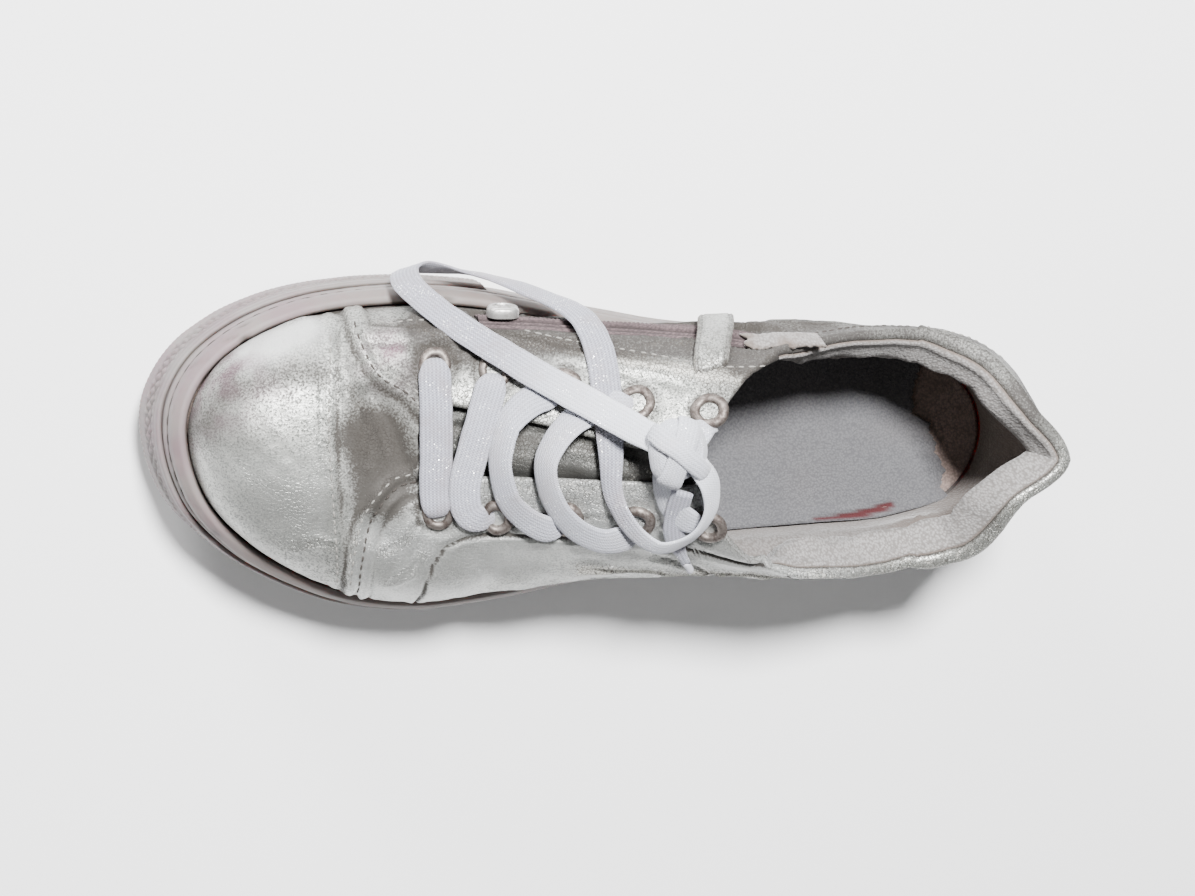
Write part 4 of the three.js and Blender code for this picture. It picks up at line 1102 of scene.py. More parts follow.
def capsules(name, lines, radius, materials, sides=6):
    """Short rounded rods along many short lines, as one piece."""
    points, faces = [], []
    for line in lines:
        line = np.asarray(line, float)
        way = unit(np.gradient(line, axis=0))
        side = unit(np.cross(way, [0.13, 0.21, 0.97]))
        other = np.cross(way, side)
        share = np.linspace(-1, 1, len(line))
        size = radius * np.sqrt(np.clip(1 - share**6, 0.12, 1))
        turn = np.linspace(0, 2 * math.pi, sides, endpoint=False)
        ring = (line[:, None] + size[:, None, None] * (side[:, None] * np.cos(turn)[None, :, None]
                                                       + other[:, None] * np.sin(turn)[None, :, None]))
        start = sum(len(q) for q in points)
        points.append(ring.reshape(-1, 3))
        faces += [[start + i for i in face] for face in tube_faces(len(line), sides)]
    make_piece(name, np.concatenate(points), faces, materials)


def saw(t):
    """A triangle wave, 0 at whole numbers and 1 half way."""
    return 1 - np.abs(2 * (t - np.floor(t)) - 1)


def make_bumper():
    """The band round the toe: fine texture low down, three rows of pyramids, a fringe and a plain strip."""
    step = 0.55
    c = sole_columns(step, int(132 / step / 2), BUMPER_BACK)
    s = run_round(c)[None, :]
    zs = np.concatenate([[1.0], np.arange(1.5, BUMPER_HIGH - 0.3, step * 0.85), [BUMPER_HIGH - 0.25]])
    z = zs[:, None]
    edge = smoothstep(1.0, 2.0, z) * (0.35 + 0.65 * smoothstep(BUMPER_HIGH + 0.1, BUMPER_HIGH - 0.9, z))
    thick = GAP + 0.6 + (BUMPER_THICK - 0.6 - GAP) * edge
    ends = smoothstep(0, 1.4, s) * smoothstep(0, 1.4, s[0, -1] - s)
    band = smoothstep(7.6, 8.3, z) * smoothstep(16.2, 15.6, z)
    lattice = np.minimum(saw(s / 4.4 + (z - 8.0) / 5.27), saw(s / 4.4 - (z - 8.0) / 5.27))
    fringe = smoothstep(15.6, 16.2, z) * smoothstep(17.9, 16.6, z) * saw(s / 2.2 + (z - 16) * 0.25)
    fine = smoothstep(7.8, 7.2, z) * 0.22 * saw(s / 1.65) * saw(z / 1.4)
    relief_up = band * (1.25 * lattice - 0.55) + 0.45 * fringe + fine
    flat = np.stack(np.broadcast_arrays(s, z, 0 * s), -1)
    worn_off = smoothstep(0.1, 0.8, lumps(flat, 16, 42))
    relief_up += 0.10 * lumps(flat, 7, 41) - 0.35 * worn_off * band * np.clip(lattice - 0.45, 0, 1)
    face = c.place(c.reach + thick * (0.3 + 0.7 * ends) + relief_up * ends, z)
    top = c.place(c.reach[None] + GAP, BUMPER_HIGH)
    rear_low, rear_top = (c.place(c.reach[None] + 0.02, height) for height in (1.2, BUMPER_HIGH - 0.6))
    p = bend(np.concatenate([rear_low, face, top, rear_top]))
    rows, cols = p.shape[:2]
    faces = grid_faces(rows, cols, wrap_rows=True)[:, ::-1].tolist()
    faces += [[r * cols for r in range(rows)], [r * cols + cols - 1 for r in range(rows)][::-1]]
    grime_and_shade, pink, warm = rubber_marks(p)
    full = np.zeros(p.shape[:2])
    full[1:-2] = band * (1 - lattice) ** 2 * 0.65 + 0.6 * smoothstep(3.0, 1.0, z)
    full[1:-2] += 0.2 * smoothstep(0.8, 0, fringe) * (z > 15.8) * (z < 18)
    full[-2:] += 0.7
    marks = {"grime_and_shade": np.clip(grime_and_shade + full, 0, 1.3), "pink": np.clip(pink, 0, 1),
             "warm": np.clip(warm * 0.7, 0, 1)}
    make_piece("toe_bumper_rubber", p, faces, [RUBBER], ["toe_bumper"], marks=marks)


# ---------------------------------------------------------------- insole: a base and its torn cover
TEAR = [
    (-30, -40), (-9, -30), (-7.5, -22), (-6.5, -16), (-8, -11), (-6, -8.5), (-10.5, -6), (-13.5, -4),
    (-12.5, 0), (-15, 4), (-14.5, 9), (-17, 13), (-18.5, 18), (-17, 24), (-20, 32), (-24, 40),
]
RED_SLIT = [(26, 27.0), (19, 27.0), (12, 26.4), (6, 25.4), (0, 23.8)]
COVER_FRONT, COVER_THICK = 208.0, 0.8


def foot_bed(x, y):
    """Height of the insole under the foot: worn hollow at the heel and the ball."""
    hollow = -1.1 * dip(np.hypot(x + 2, (y + 1) * 1.1), 20) - 0.9 * dip(np.hypot((x - 140) * 0.7, y + 4), 26)
    return 20.6 + hollow + 0.9 * smoothstep(20, 34, np.abs(y - spine_y(x)))


INSOLE_EDGE = UPPER_INSET + WALL + GAP + 0.2


def make_insole():
    """The worn insole, as far as the upper's wall."""
    c = sole_columns(2.4, 14)
    out = (c.reach - INSOLE_EDGE) * np.linspace(0, 1, 26)[:, None]
    p = c.place(out, np.zeros_like(out))
    p[..., 2] = foot_bed(p[..., 0], p[..., 1]) + 0.25 * lumps(p, 9, 51)
    rim = c.place(c.reach[None] - INSOLE_EDGE, FLOOR_Z + GAP)
    rows = bend(np.concatenate([p, rim]))
    faces = grid_faces(len(rows), rows.shape[1], wrap_cols=True)[:, ::-1]
    make_piece("insole_base", rows, faces, [INSOLE_BASE], ["insole"],
               marks={"grime_and_shade": np.clip(0.45 + 0.3 * lumps(rows, 14, 52), 0, 1), "red": 0.0}, merge=0.02)


def make_cover():
    """The insole's cover: a grid over its forward part, with a jagged torn edge that lifts a little."""
    across = np.linspace(-1, 1, 61)
    tear_x, tear_y = np.array(TEAR, float).T
    rng = np.random.default_rng(11)
    grid = []
    for share in np.linspace(0, 1, 120) ** 1.15:
        back = np.interp(across * 31, tear_y, tear_x) + rng.uniform(-0.5, 0.5, len(across)) * (share == 0)
        x = back + (COVER_FRONT - back) * share
        half = np.where(across > 0, side_columns(x, 1).reach + 0.2, side_columns(x, -1).reach - 0.4)
        y = spine_y(x) + across * (half - INSOLE_EDGE)
        grid.append(np.stack([x, y, foot_bed(x, y)], -1))
    p = np.array(grid)
    x, y = p[..., 0], p[..., 1]
    from_tear = x - x[0]
    curl = smoothstep(7, 0, from_tear) * (0.55 + 0.9 * smoothstep(-6, 6, y) * smoothstep(16, 6, y))
    slit = distance_to(RED_SLIT, x, y)
    gape = 0.40 + 0.65 * smoothstep(26, 8, x)
    p[..., 2] += 1.0 + curl * 1.2 + 0.22 * lumps(p, 13, 53) + 0.12 * lumps(p, 4, 54)
    p[..., 2] += 0.5 * dip(slit - 2.4, 1.2) * (y > 24) - 0.8 * dip(slit / gape, 1.0)
    red = smoothstep(1.5, 0.9, slit / gape) * smoothstep(-5, 0, x) * smoothstep(28, 25, x)
    grime_and_shade = 0.10 + 0.16 * lumps(p, 16, 55) + 0.12 * smoothstep(4, 0, from_tear)
    points, faces = slab(p, p - [0, 0, COVER_THICK])
    return make_piece("insole_cover", bend(points), [face[::-1] for face in faces], [INSOLE_COVER],
                      marks={"red": on_top(red, 0.0), "grime_and_shade": on_top(np.clip(grime_and_shade, 0, 1))})


# ---------------------------------------------------------------- eyelets and laces
LACE_WIDE, LACE_THICK = 9.0, 1.5
RIBBON_SIDES = 14


def signed_power(v, power):
    """A power that keeps the sign, to square off round sections."""
    return np.sign(v) * np.abs(v) ** power


def ribbon(line, out, wide, thick=LACE_THICK, taper=1.0, crown=0.0):
    """A flat tubular lace: rings of a flattened section along a line. out is the way out of its face."""
    way = unit(np.gradient(line, axis=0))
    out = unit(out - way * (out * way).sum(1, keepdims=True))
    across = np.cross(way, out)
    turn = np.linspace(0, 2 * math.pi, RIBBON_SIDES, endpoint=False)
    flat = signed_power(np.cos(turn), 0.72)
    deep = signed_power(np.sin(turn), 0.8)
    width = np.broadcast_to(wide, len(line)) * taper
    a = flat[None] * width[:, None] / 2
    b = deep[None] * thick / 2 + crown * (1 - flat[None] ** 2)
    points = line[:, None] + across[:, None] * a[..., None] + out[:, None] * b[..., None]
    marks = {"along": np.repeat(run_along(line), RIBBON_SIDES), "across": a.reshape(-1)}
    return points.reshape(-1, 3), tube_faces(len(line), RIBBON_SIDES), marks


def twisted(line, keys):
    """The way out of a ribbon's face at each point of a line, between keys of (point, way out)."""
    run = run_along(line)
    at = [run[np.linalg.norm(line - np.array(k[0], float), axis=1).argmin()] for k in keys]
    order = np.argsort(at)
    ways = unit(np.array([keys[i][1] for i in order], float))
    t = np.interp(run, np.array(at)[order], np.arange(len(order)))
    i = np.clip(t.astype(int), 0, len(order) - 2)
    f = (t - i)[:, None]
    f = f * f * (3 - 2 * f)
    return unit(ways[i] * (1 - f) + ways[i + 1] * f)


def make_ribbon(name, line, out, wide, replaced, uneven, seed, pale=0.0, **more):
    """A ribbon as a piece, uneven by that much. pale is a painted highlight at each point of the line."""
    points, faces, marks = ribbon(line, out, wide, **more)
    points = points + np.stack([lumps(points, 4, seed + k) for k in range(3)], -1) * uneven
    marks["grime_and_shade"] = np.clip(0.12 + 0.25 * lumps(points, 11, seed + 4), 0, 1)
    marks["pale"] = np.repeat(np.broadcast_to(pale, len(line)), len(points) // len(line))
    return make_piece(name, points, faces, [LACE], replaced, marks=marks)


LOOP_ROUTE = [
    [95.6, -11.4, 92.6], [103, -15.5, 86], [111, -20, 80], [119, -24.5, 76], [127, -29, 71],
    [135, -34, 65.5], [143, -39, 59.5], [150, -44, 53], [156, -49, 46], [160, -53.5, 39],
    [159.5, -56.2, 33], [154, -57, 29], [146, -56, 28.5], [137, -54.5, 30], [128, -52, 34],
    [120, -48.8, 40.5], [114, -46.3, 48.5], [110, -43, 56.5], [107.8, -37, 64], [107, -29, 70.6],
    [107, -20, 75.6], [107, -12, 78.6], [107, -4, 80], [106.5, 4, 79.6], [104, 11, 81], [99, 17.5, 81.4],
    [93, 21, 82.6], [87.5, 19.5, 84.6], [83, 15.5, 87.8], [80.4, 10, 90.4], [80.4, 4.4, 92.4],
    [82, -0.6, 94.4], [85.4, -5, 95],
]
LOOP_FACES = [
    ([95.6, -11.4, 92.6], (0.35, -0.35, 1)), ([111, -20, 80], (0.45, -0.5, 1)),
    ([127, -29, 71], (0.4, -0.6, 1)), ([143, -39, 59.5], (0.3, -0.8, 1)),
    ([156, -49, 46], (0.25, -1, 0.75)), ([160, -53.5, 39], (0.4, -1, 0.3)),
    ([154, -57, 29], (0, -1, -0.5)), ([137, -54.5, 30], (0, -1, 0)),
    ([120, -48.8, 40.5], (-0.1, -1, 0.35)), ([110, -43, 56.5], (0, -1, 0.6)),
    ([107, -29, 70.6], (0.1, -0.7, 1)), ([107, -12, 78.6], (0.2, -0.2, 1)),
    ([107, -4, 80], (0.3, -0.1, 1)), ([106.5, 4, 79.6], (0.7, 0.1, 1)), ([104, 11, 81], (0.75, 0.65, 1)),
    ([99, 17.5, 81.4], (0.4, 0.9, 0.95)), ([93, 21, 82.6], (0.0, 1, 0.95)),
    ([87.5, 19.5, 84.6], (-0.55, 0.85, 0.9)), ([83, 15.5, 87.8], (-0.9, 0.5, 0.9)),
    ([80.4, 4.4, 92.4], (-0.8, 0.1, 0.9)), ([85.4, -5, 95], (-0.4, 0.2, 1)),
]
TIP_ROUTE = [
    [88.6, 3.4, 90.6], [88.9, 8, 87], [89, 12, 84.1], [88.6, 16, 81.6], [87.4, 20, 79], [85.4, 24, 76.6],
    [82.8, 28, 73.8],
]
KNOT_AT, KNOT_HALF = np.array([90.4, -8.6, 93.4]), np.array([9.6, 10.8, 6.0])


def make_loop():
    """The bow's one long loop and the line that it follows."""
    line = smooth_path(LOOP_ROUTE, 1.6)
    share = np.linspace(0, 1, len(line))
    taper = 1 - 0.30 * smoothstep(0.70, 0.78, share) * smoothstep(1.0, 0.90, share)
    taper -= 0.25 * smoothstep(0.96, 1, share)
    taper *= 1 - 0.12 * smoothstep(0.04, 0.0, share)
    # Painted highlight on the loop's two ends, near the knot.
    pale = 0.45 * smoothstep(0.22, 0.06, share) + 0.40 * smoothstep(0.80, 0.90, share)
    loop = make_ribbon("lace_loop_ribbon", line, twisted(line, LOOP_FACES), LACE_WIDE, ["lace_loop"], 0.14,
                       61, pale, taper=taper)
    return loop, line


def wrap(center, half, plane_a, plane_b, start, stop, lift):
    """An arc of lace on an ellipsoid, in the plane of two axes, and its way out."""
    a, b = unit(np.array(plane_a, float)), unit(np.array(plane_b, float))
    turn = np.radians(np.linspace(start, stop, 26))[:, None]
    way = a * np.cos(turn) + b * np.sin(turn)
    radius = 1 / np.sqrt(((way / half) ** 2).sum(1, keepdims=True))
    line = center + way * (radius + lift)
    return line, unit((line - center) / half**2)


def make_knot():
    """Two turns of lace drawn tight over a core, with the loops coming out from under them."""
    points, faces, marks = [], [], {"along": [], "across": []}
    turns = [
        ((1, 0.25, 0), (0, 0.1, 1), -20, 200, 0.3, 8.4), ((0.35, 1, 0), (0.1, 0, 1), -15, 195, 1.5, 7.0),
        ((1, -0.8, 0.1), (0, 0, 1), -10, 190, 2.6, 5.6), ((0.2, 1, 0), (1, 0, 0.2), 20, 170, 0.3, 6.5),
        ((0.2, -1, 0), (-1, 0, 0.1), 10, 160, 0.3, 6.5),
    ]
    core = KNOT_HALF - 2.9
    for k, (a, b, start, stop, lift, wide) in enumerate(turns):
        line, out = wrap(KNOT_AT, core, a, b, start, stop, lift)
        p, f, m = ribbon(line, out, wide, 1.7, crown=0.35)
        base = sum(len(q) for q in points)
        points.append(p)
        faces += [[i + base for i in face] for face in f]
        for key in marks:
            marks[key].append(m[key] + k * 3.1)
    down = np.linspace(0.05, math.pi - 0.05, 14)[:, None]
    turn = np.linspace(0, 2 * math.pi, 24, endpoint=False)[None]
    ball = [np.sin(down) * np.cos(turn), np.sin(down) * np.sin(turn), np.cos(down) + 0 * turn]
    ball = KNOT_AT + core * np.stack(ball, -1)
    base = sum(len(q) for q in points)
    points.append(ball.reshape(-1, 3))
    faces += (grid_faces(14, 24, wrap_cols=True) + base).tolist()
    marks["along"].append(ball[..., 2].reshape(-1))
    marks["across"].append(ball[..., 0].reshape(-1))
    p = np.concatenate(points)
    p = p + np.stack([lumps(p, 4, 70 + k) for k in range(3)], -1) * 0.35
    # The knot's pale value is a painted highlight.
    values = {key: np.concatenate(v) for key, v in marks.items()} | {"grime_and_shade": 0.04, "pale": 0.3}
    return make_piece("lace_knot_turns", p, faces, [LACE], ["lace_knot"], marks=values)


def make_tip():
    """The lace's short free end, with its aglet."""
    line = smooth_path(TIP_ROUTE, 1.4)
    face = twisted(line, [(TIP_ROUTE[0], (0.3, 0.4, 1)), (TIP_ROUTE[-1], (0.1, 1, 1))])
    taper = 1 - 0.55 * smoothstep(0.55, 0.95, np.linspace(0, 1, len(line)))
    make_ribbon("lace_tip_ribbon", line, face, 6.4, ["lace_tip"], 0.12, 81, taper=taper)
    aglet = line[-1] + unit(line[-1] - line[-3]) * np.linspace(-1.0, 4.5, 10)[:, None]
    capsules("lace_aglet", [aglet], 1.15, [AGLET], 12)


def surface_frame(x, y):
    """The bent surface over the throat at (x, y from the middle): place, along the foot, out."""
    at, along, out = over_throat(x, y)
    return (bend(at), unit(bend(at + along * 0.5) - bend(at - along * 0.5)),
            unit(bend(at + out * 0.5) - bend(at - out * 0.5)))


# Each bar's way over the throat, from the inner to the outer eyelet of its pair: x and y in plan, how far it
# stands over the surface, and how far its face leans towards the toe.
BARS = [
    [(158, -32.9, -1.6, 0), (158.2, -30.4, 2.2, 0), (158.6, -22, 1.9, 0), (158.8, -9, 1.5, 0),
     (159, 4, 1.8, 0),
     (158.6, 11.2, 2.3, 0), (158, 13.6, -1.4, 0)],
    [(138.2, -28.6, -1.6, 0), (139, -26.2, 2.4, 0), (142.5, -18, 2.6, 0.1), (146.8, -6, 2.2, 0.15),
     (149.4, 4, 2.6, 0.15), (148.2, 10.6, 2.8, 0.1), (143.5, 13.4, 2.6, 0), (139, 13.4, -1.4, 0)],
    [(118.4, -22.8, -1.6, 0), (121, -22.6, 2.2, 0), (128, -20.4, 3.0, 0.2), (135, -13.6, 4.2, 0.6),
     (137.2, -3, 4.8, 0.8), (133.6, 7.4, 4.4, 0.6), (127, 13.6, 3.4, 0.3), (121.6, 15.8, 2.6, 0.1),
     (118.6, 14.6, -1.4, 0)],
    [(98.6, -18.6, -1.6, 0), (101.5, -19.4, 1.2, 0), (108.5, -19, 1.5, 0.1), (117, -14.6, 3.6, 0.5),
     (123.8, -5, 5.2, 0.8), (121.4, 6.6, 5.2, 0.7), (114, 15.2, 4.2, 0.4), (106, 18.6, 3.2, 0.1),
     (100.6, 17.2, 2.4, 0), (98.6, 14.2, -1.4, 0)],
    [(78.8, -14.8, -1.6, 0), (80.6, -13.2, 2.4, 0), (86, -9, 3.6, 0.5), (91.4, -1.4, 3.6, 0.7),
     (89, 7.4, 3.2, 0.4), (82.4, 13, 2.4, 0.1), (79, 13.4, -1.4, 0)],
]


def make_bar(i, way):
    """A crossing: up out of one eyelet, over the throat, and down into the other."""
    x, y, lift, tilt = smooth_path(way, 1.0).T
    place, along, out = surface_frame(x, y - spine_y(x))
    line = place + out * lift[:, None]
    face = out + along * tilt[:, None]
    run = run_along(line)
    near_end = np.minimum(run, run[-1] - run)
    width = (LACE_WIDE + 0.4) * (1 - 0.50 * smoothstep(8.5, 1.0, near_end))
    # The bars are paler the nearer they lie to the knot: a painted highlight.
    make_ribbon(f"lace_bar_{i + 1}_ribbon", line, face, width, [f"lace_bar_{i + 1}"], 0.14, 90 + i * 7,
                0.06 * i, crown=0.15)


# Radius and height of each ring of points, from the inside out.
EYELET_RIM = [
    (2.6, -2.4), (2.6, 0.2), (2.75, 0.8), (3.15, 1.2), (3.85, 1.38), (4.6, 1.2), (5.2, 0.8), (5.5, 0.25),
    (5.5, -0.5),
]
EYELET_HOLE = [(2.6, -0.4), (1.4, -0.9), (0.1, -1.2)]
RIM_LIFT = 0.35


def make_eyelets():
    """The rolled rims, each a little uneven, and the dark holes in them."""
    turn = np.linspace(0, 2 * math.pi, 40, endpoint=False)
    for k, (name, at, along, across, out) in enumerate(EYELET_SPOTS):
        way = along * np.cos(turn)[:, None] + across * np.sin(turn)[:, None]
        wobble = (1 + 0.03 * np.sin(turn * 2 + k) + 0.015 * np.sin(turn * 5 + 2 * k))[:, None]
        rim = bend(np.array([at + way * wobble * r + out * (h + RIM_LIFT) for r, h in EYELET_RIM]))
        hole = bend(np.array([at + way * r + out * h for r, h in EYELET_HOLE]))
        rim_faces, hole_faces = (grid_faces(*p.shape[:2], wrap_cols=True) for p in (rim, hole))
        make_piece(f"{name}_ring", rim, rim_faces, [RIM_METAL], [name])
        make_piece(f"{name}_hole", hole, hole_faces, [DARK])


TONGUE_DEEP, TONGUE_THICK = 3.4, 2.2


def make_tongue():
    """The tongue under the laces, folded a little lengthways."""
    x, y = np.meshgrid(np.linspace(84, 176, 120), np.linspace(-1, 1, 61), indexing="ij")
    y = y * 22 * (1 - 0.3 * smoothstep(98, 84, x) ** 2)
    place, _, out = surface_frame(x, y)
    swell = 0.9 * smoothstep(0, 14, THROAT_FRONT - x) * smoothstep(12, 3, np.abs(y))
    folds = -0.9 * dip(y + 3 + 2 * np.sin(x / 17), 1.8) + 0.5 * dip(y - 4, 2.4)
    folds += 0.7 * lumps(place, 13, 101) + 0.35 * lumps(place, 5, 102)
    folds -= 0.6 * dip(y - 9 - (x - 120) * 0.03, 1.4)
    height = swell + np.clip(folds, -1.6, 0.9) - TONGUE_DEEP - 0.2
    points, faces = slab(place + out * height[..., None], place - out * (TONGUE_DEEP + TONGUE_THICK))
    grime_and_shade = np.clip(0.42 + 0.3 * lumps(place, 9, 103) + 0.3 * dip(y + 3, 2), 0, 1)
    wear = np.clip(0.2 + 0.3 * lumps(place, 6, 104), 0, 1)
    make_piece("tongue_leather", points, faces, [TONGUE_SKIN], ["tongue"],
               marks={"grime_and_shade": on_top(grime_and_shade), "wear": on_top(wear, 0.0), "pink": 0.0})


# ---------------------------------------------------------------- zip, keeper and torn textile
zip_middle = through([(50, 73), (58, 69), (66, 63.5), (80, 57), (105, 52), (141, 47.5)])
ZIP_BACK, ZIP_FRONT = 58.0, 141.0
SLIDER_HALF = (5.0, 3.4)


def make_zip():
    """The zip's coil on its tape."""
    x, v = np.meshgrid(np.arange(ZIP_BACK, ZIP_FRONT + 0.01, 0.4), np.linspace(-5.9, 5.9, 49), indexing="ij")
    z, flat = zip_middle(x) + v, np.stack([x, v, 0 * x], -1)
    coil = 1.25 * np.sqrt(np.clip(1 - (v / 1.35) ** 2, 0, 1)) * (1 + 0.16 * np.sin(x * 2 * math.pi / 1.25))
    tape = 0.40 * dip(np.abs(v) - 2.6, 0.4) + 0.3 * dip(np.abs(v) - 4.2, 0.4) + 0.12 * lumps(flat, 5, 111)
    points, faces = slab(bend(on_face(x, z, -1, -1.5 + coil + tape)), bend(on_face(x, z, -1, -1.9)))
    grime_and_shade = 0.25 + 0.25 * lumps(flat, 8, 112)
    grime_and_shade += 0.6 * dip(np.abs(v) - 1.6, 0.4) + 0.5 * dip(np.abs(v) - 3.4, 0.35)
    grime_and_shade += 0.5 * dip(np.abs(v) - 5.4, 0.5)
    make_piece("zip_coil", points, faces, [ZIP_CLOTH], ["zip_tape"],
               marks={"grime_and_shade": on_top(np.clip(grime_and_shade, 0, 1)), "red": 0.0})


def make_slider():
    """The zip's slider: a domed plate with an oval eye."""
    x0 = ZIP_FRONT - 8
    z0 = zip_middle(x0)
    before, origin, after = on_face([x0 - 1, x0, x0 + 1], z0, -1)
    out = on_face([x0], z0, -1, 1.0)[0] - origin
    along = unit(after - before)
    across = np.cross(out, along)
    radius = np.concatenate([[0.001], np.linspace(0.06, 1, 26)])[:, None]
    turn = np.linspace(0, 2 * math.pi, 56, endpoint=False)[None]
    u = SLIDER_HALF[0] * radius * signed_power(np.cos(turn), 0.7)
    v = SLIDER_HALF[1] * radius * signed_power(np.sin(turn), 0.7)
    h = 0.9 + 2.1 * (1 - radius**7) ** 0.45 + 0 * turn
    eye = np.sqrt(((u - 0.4) / 2.1) ** 2 + (v / 1.15) ** 2)
    h = h - 1.9 * smoothstep(1.05, 0.8, eye) + 0.35 * dip(eye - 1.25, 0.22)
    h -= 0.35 * dip(np.abs(v) - 2.5, 0.25)
    p = origin + along * u[..., None] + across * v[..., None] + out * h[..., None]
    rim = origin + along * u[-1:, :, None] + across * v[-1:, :, None] + out * -0.2
    p = bend(np.concatenate([p, rim]))
    faces = grid_faces(len(p), p.shape[1], wrap_cols=True)[:, ::-1]
    dark = np.concatenate([smoothstep(1.0, 0.75, eye), np.full_like(turn, 0.6)])
    make_piece("zip_slider_body", p, faces, [SLIDER_METAL], ["zip_slider"],
               marks={"grime_and_shade": dark}, merge=0.03)


def make_keeper():
    """The leather loop over the zip's rear end."""
    t, u = np.meshgrid(np.linspace(0, 1, 46), np.linspace(-1, 1, 25), indexing="ij")
    z = 51.0 + t * 25.0
    x = 67.8 + t * 8.4 + u * (5.6 - 0.9 * np.abs(2 * t - 1) ** 6) + 0.25 * np.sin(t * 9)
    rise = 0.7 + 2.6 * np.clip(np.sin(math.pi * np.clip(t * 1.04 - 0.02, 0, 1)), 0, 1) ** 0.55
    round_off = 0.75 * (1 - np.clip(1 - np.abs(u) ** 7, 0, 1) ** 0.5)
    wrinkle = 0.22 * lumps(np.stack([x, z, 0 * x], -1), 4, 121)
    groove = np.abs(u) - 0.76
    top = bend(on_face(x, z, -1, rise - round_off + wrinkle - 0.25 * dip(groove, 0.06)))
    points, faces = slab(top, bend(on_face(x, z, -1, rise - 1.6 + round_off)))
    edge = smoothstep(0.8, 1.0, np.abs(u)) + 0.3 * smoothstep(0.1, 0, t)
    make_piece("zip_keeper", points, faces, [LEATHER], ["zip_tab"], marks={
        "wear": on_top(np.clip(0.25 + 0.7 * edge + 0.3 * lumps(top, 4, 122), 0, 1.3), 0.0),
        "grime_and_shade": on_top(np.clip(0.12 + 0.5 * dip(groove, 0.07) + 0.6 * smoothstep(0.93, 1.0, t), 0, 1)),
        "pink": 0.0,
        # A painted highlight across the loop's middle, and painted shade over all of it, strongest towards
        # its sides.
        "pale": on_top(0.5 * dip(t - 0.42, 0.3) * dip(u, 0.8), 0.0),
        "painted_shade": on_top(0.18 + 0.5 * smoothstep(0.55, 1.0, np.abs(u))),
    })


def make_scrap():
    """Frayed lining textile that has come out at the collar behind the zip."""
    t, u = np.meshgrid(np.linspace(0, 1, 52), np.linspace(-1, 1, 40), indexing="ij")
    ragged = 0.7 * np.sin(t * 31) + 0.9 * np.sin(t * 13 + 1) + 0.5 * np.sin(t * 57)
    x = 43 + t * 21 + 0.9 * np.sin(u * 5) * (t > 0.02)
    z = 75.5 - (x - 43) * 0.30 + u * (3.9 + ragged * 0.35 * (np.abs(u) > 0.4))
    flat = np.stack([x, z, 0 * x], -1)
    lump = 0.9 + 0.7 * lumps(flat, 5, 131) + 0.4 * lumps(flat, 2.2, 132)
    fade = np.clip(1 - np.abs(u) ** 5, 0, 1) * np.clip(1 - np.abs(2 * t - 1) ** 6, 0, 1)
    top = bend(on_face(x, z, -1, 0.15 + np.clip(lump, 0.15, 2.2) * fade))
    points, faces = slab(top, bend(on_face(x, z, -1, -0.6)))
    grime_and_shade = np.clip(0.38 + 0.45 * lumps(top, 5, 133) + 0.4 * (1 - fade), 0, 1)
    make_piece("torn_textile", points, faces, [LINING],
               marks={"grime_and_shade": on_top(grime_and_shade), "red": 0.0})


# ---------------------------------------------------------------- stitches and threads on the upper
def offset_path(path, far):
    """A plan path moved to its left by far."""
    p = np.array(path, float)
    way = np.gradient(p, axis=0)
    way /= np.linalg.norm(way, axis=1, keepdims=True)
    return p + np.stack([-way[:, 1], way[:, 0]], -1) * far


def on_upper(tree, points, view):
    """Where plan points (x, y) or side points (x, z) meet the leather, in millimetres, with the way out."""
    found = []
    for a, b in points:
        if view == 0:
            start, way = Vector((a * MM, b * MM, 0.2)), Vector((0, 0, -1))
        else:
            start, way = Vector((a * MM, 0.2 * view, b * MM)), Vector((0, -view, 0))
        at, normal, _, _ = tree.ray_cast(start, way)
        found.append(None if at is None else (np.array(at) / MM, np.array(normal)))
    return found


STITCH_STEP = 0.4


def stitch_row(tree, path, view, pitch, long, lift, seed, low=36.0):
    """Lines of stitches along a path, lifted off the leather by lift, down to a height of about low."""
    line = smooth_path(path, STITCH_STEP)
    rng = np.random.default_rng(seed)
    lines = []
    start = 2.0
    while start + long / STITCH_STEP + 1 < len(line):
        a, b = int(start), int(start + long / STITCH_STEP)
        hits = on_upper(tree, line[[a, (a + b) // 2, b]], view)
        near = all(hits) and np.linalg.norm(hits[0][0] - hits[2][0]) < long * 1.7
        if near and min(h[0][2] for h in hits) > low - 2:
            lines.append([h[0] + h[1] * lift for h in hits])
        start += pitch / STITCH_STEP * rng.uniform(0.92, 1.08)
    return [smooth_path(line, np.linalg.norm(line[0] - line[-1]) / 4 - 1e-6) for line in lines]


# Side views (x, z) in millimetres.
TAB_STITCHES = [(6.5, 78), (6, 68), (4.5, 62), (-1, 57.4), (-13, 54), (-27, 51.8)]
COLLAR_STITCHES = [(52, 72), (36, 68), (20, 62.5), (8, 60.5)]


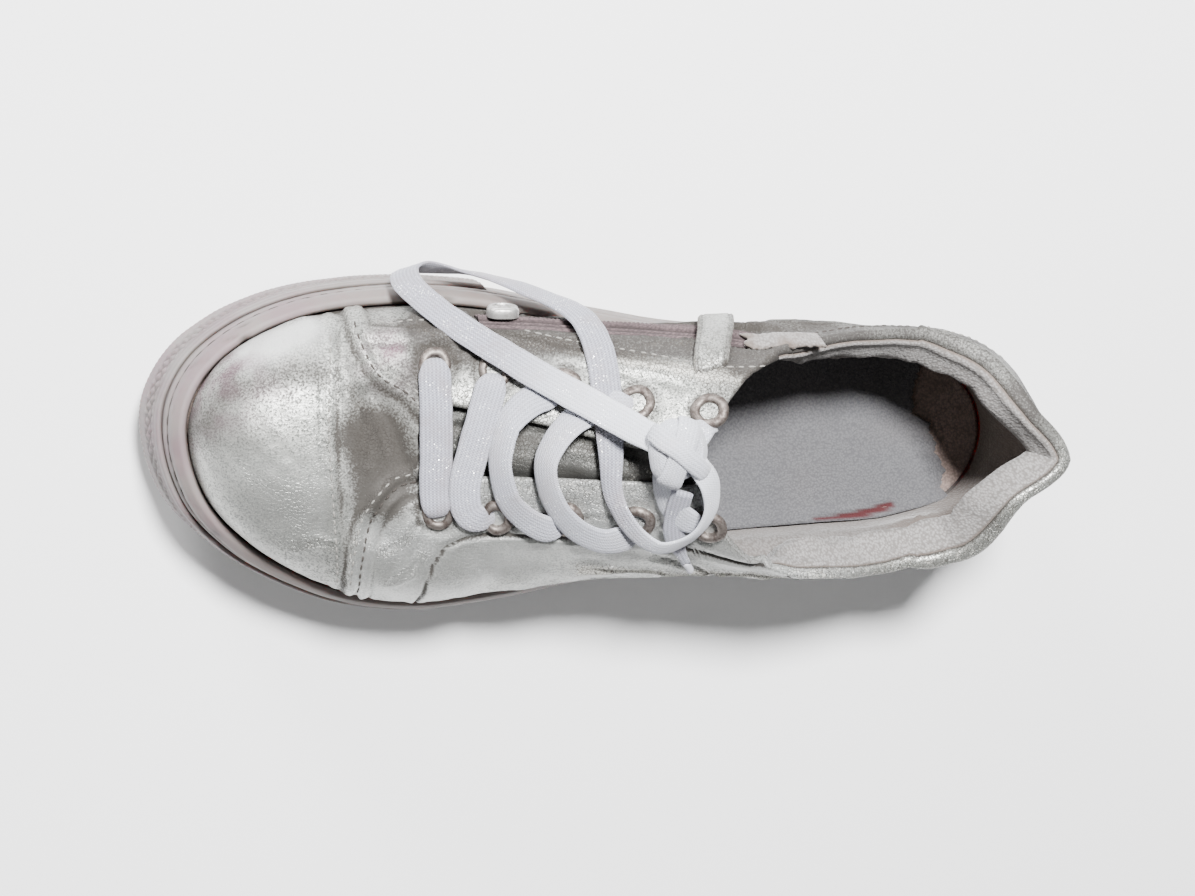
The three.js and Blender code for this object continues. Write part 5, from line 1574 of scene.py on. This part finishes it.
def make_stitches(upper):
    """Rows of dark and pale stitches on the leather."""
    mesh = upper.data
    tree = BVHTree.FromPolygons([v.co for v in mesh.vertices], [list(p.vertices) for p in mesh.polygons])
    outer, inner, strap = OUTER_STAY[1:11], INNER_STAY[1:9], INNER_STAY[10:18]
    dark = stitch_row(tree, offset_path(outer, 4.4), 0, 3.0, 1.9, 0.10, 1)
    pale = stitch_row(tree, offset_path(outer, 1.7), 0, 3.4, 1.6, 0.05, 2)
    dark += stitch_row(tree, offset_path(inner, -2.2), 0, 3.0, 1.8, 0.05, 3)
    pale += stitch_row(tree, offset_path(inner, -4.4), 0, 3.0, 1.8, 0.05, 4)
    pale += stitch_row(tree, offset_path(strap, 2.6), 0, 3.0, 1.8, 0.0, 5)
    pale += stitch_row(tree, offset_path(TOE_SEAM, -2.2), 0, 2.8, 1.7, 0.04, 6)
    for view in (1, -1):
        pale += stitch_row(tree, TAB_STITCHES, view, 3.0, 1.8, 0.06, 8 + view, 30)
        dark += stitch_row(tree, COLLAR_STITCHES, view, 2.8, 1.7, 0.05, 12 + view, 30)
    capsules("upper_stitches_dark", dark, 0.30, [DARK_THREAD])
    capsules("upper_stitches_pale", pale, 0.30, [PALE_THREAD])


# ---------------------------------------------------------------- build
make_camera()
make_floor()
make_light("key", (0.08, -0.56, 1.1), (0.10, 0, 0.03), 0.24, 68)
make_light("window", (0.62, -0.95, 0.40), (0.14, 0, 0.04), 0.30, 12)
make_light("fill", (-0.9, 0.7, 1.3), (0.10, 0, 0.03), 1.2, 2)
make_light("toe_light", (1.1, 0.2, 0.7), (0.15, 0, 0.05), 0.6, 4)
make_world()

LEATHER = silver_leather("silver_leather")
# The tongue's foil is dimmed to a fifth: painted shade between the laces.
TONGUE_SKIN = silver_leather("tongue_silver", 0.05, 0.2)
LINING = woven("lining_mesh", (0.235, 0.225, 0.22), (0.13, 0.12, 0.113), 0.7, (0.11, 0.085, 0.07),
               rib=(1.0, 1.0, 0.45))
# The insole base is lighter than its brown-grey, as painted light in the heel's deep shade; the cover is
# darker than its grey-white cloth, as painted shade.
INSOLE_BASE = woven("insole_base", (0.36, 0.275, 0.24), (0.21, 0.16, 0.14), 0.8, (0.15, 0.11, 0.095))
INSOLE_COVER = woven("insole_cover", (0.105, 0.105, 0.11), (0.075, 0.074, 0.08), 0.7)
ZIP_CLOTH = woven("zip_cloth", (0.12, 0.085, 0.088), (0.06, 0.042, 0.045), 0.6, (0.02, 0.014, 0.014),
                  rib=(0.6, 1.0, 1.6), sheen=0.0)
RUBBER = white_rubber("white_rubber", (0.165, 0.15, 0.145))
LACE = lace_cotton()
RIM_METAL = dull_metal("dull_metal", (0.20, 0.175, 0.16), (0.06, 0.046, 0.04), 0.42)
SLIDER_METAL = dull_metal("slider_metal", (0.46, 0.45, 0.44), (0.24, 0.23, 0.22), 0.34)
DARK = thread("hole_dark", (0.02, 0.018, 0.016))
AGLET = thread("aglet", (0.55, 0.55, 0.60))
DARK_THREAD = thread("dark_thread", (0.045, 0.037, 0.032))
PALE_THREAD = thread("pale_thread", (0.26, 0.25, 0.23))

loop, loop_line = make_loop()
knot = make_knot()
make_tip()
upper, collar = make_upper()
make_midsole()
make_bumper()
make_insole()
cover = make_cover()
make_eyelets()
for i, way in enumerate(BARS):
    make_bar(i, way)
make_tongue()
make_zip()
make_slider()
make_keeper()
make_scrap()
make_stitches(upper)
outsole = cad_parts["outsole"]
outsole.data.materials.clear()
outsole.data.materials.append(white_rubber("outsole_rubber", (0.20, 0.18, 0.165)))
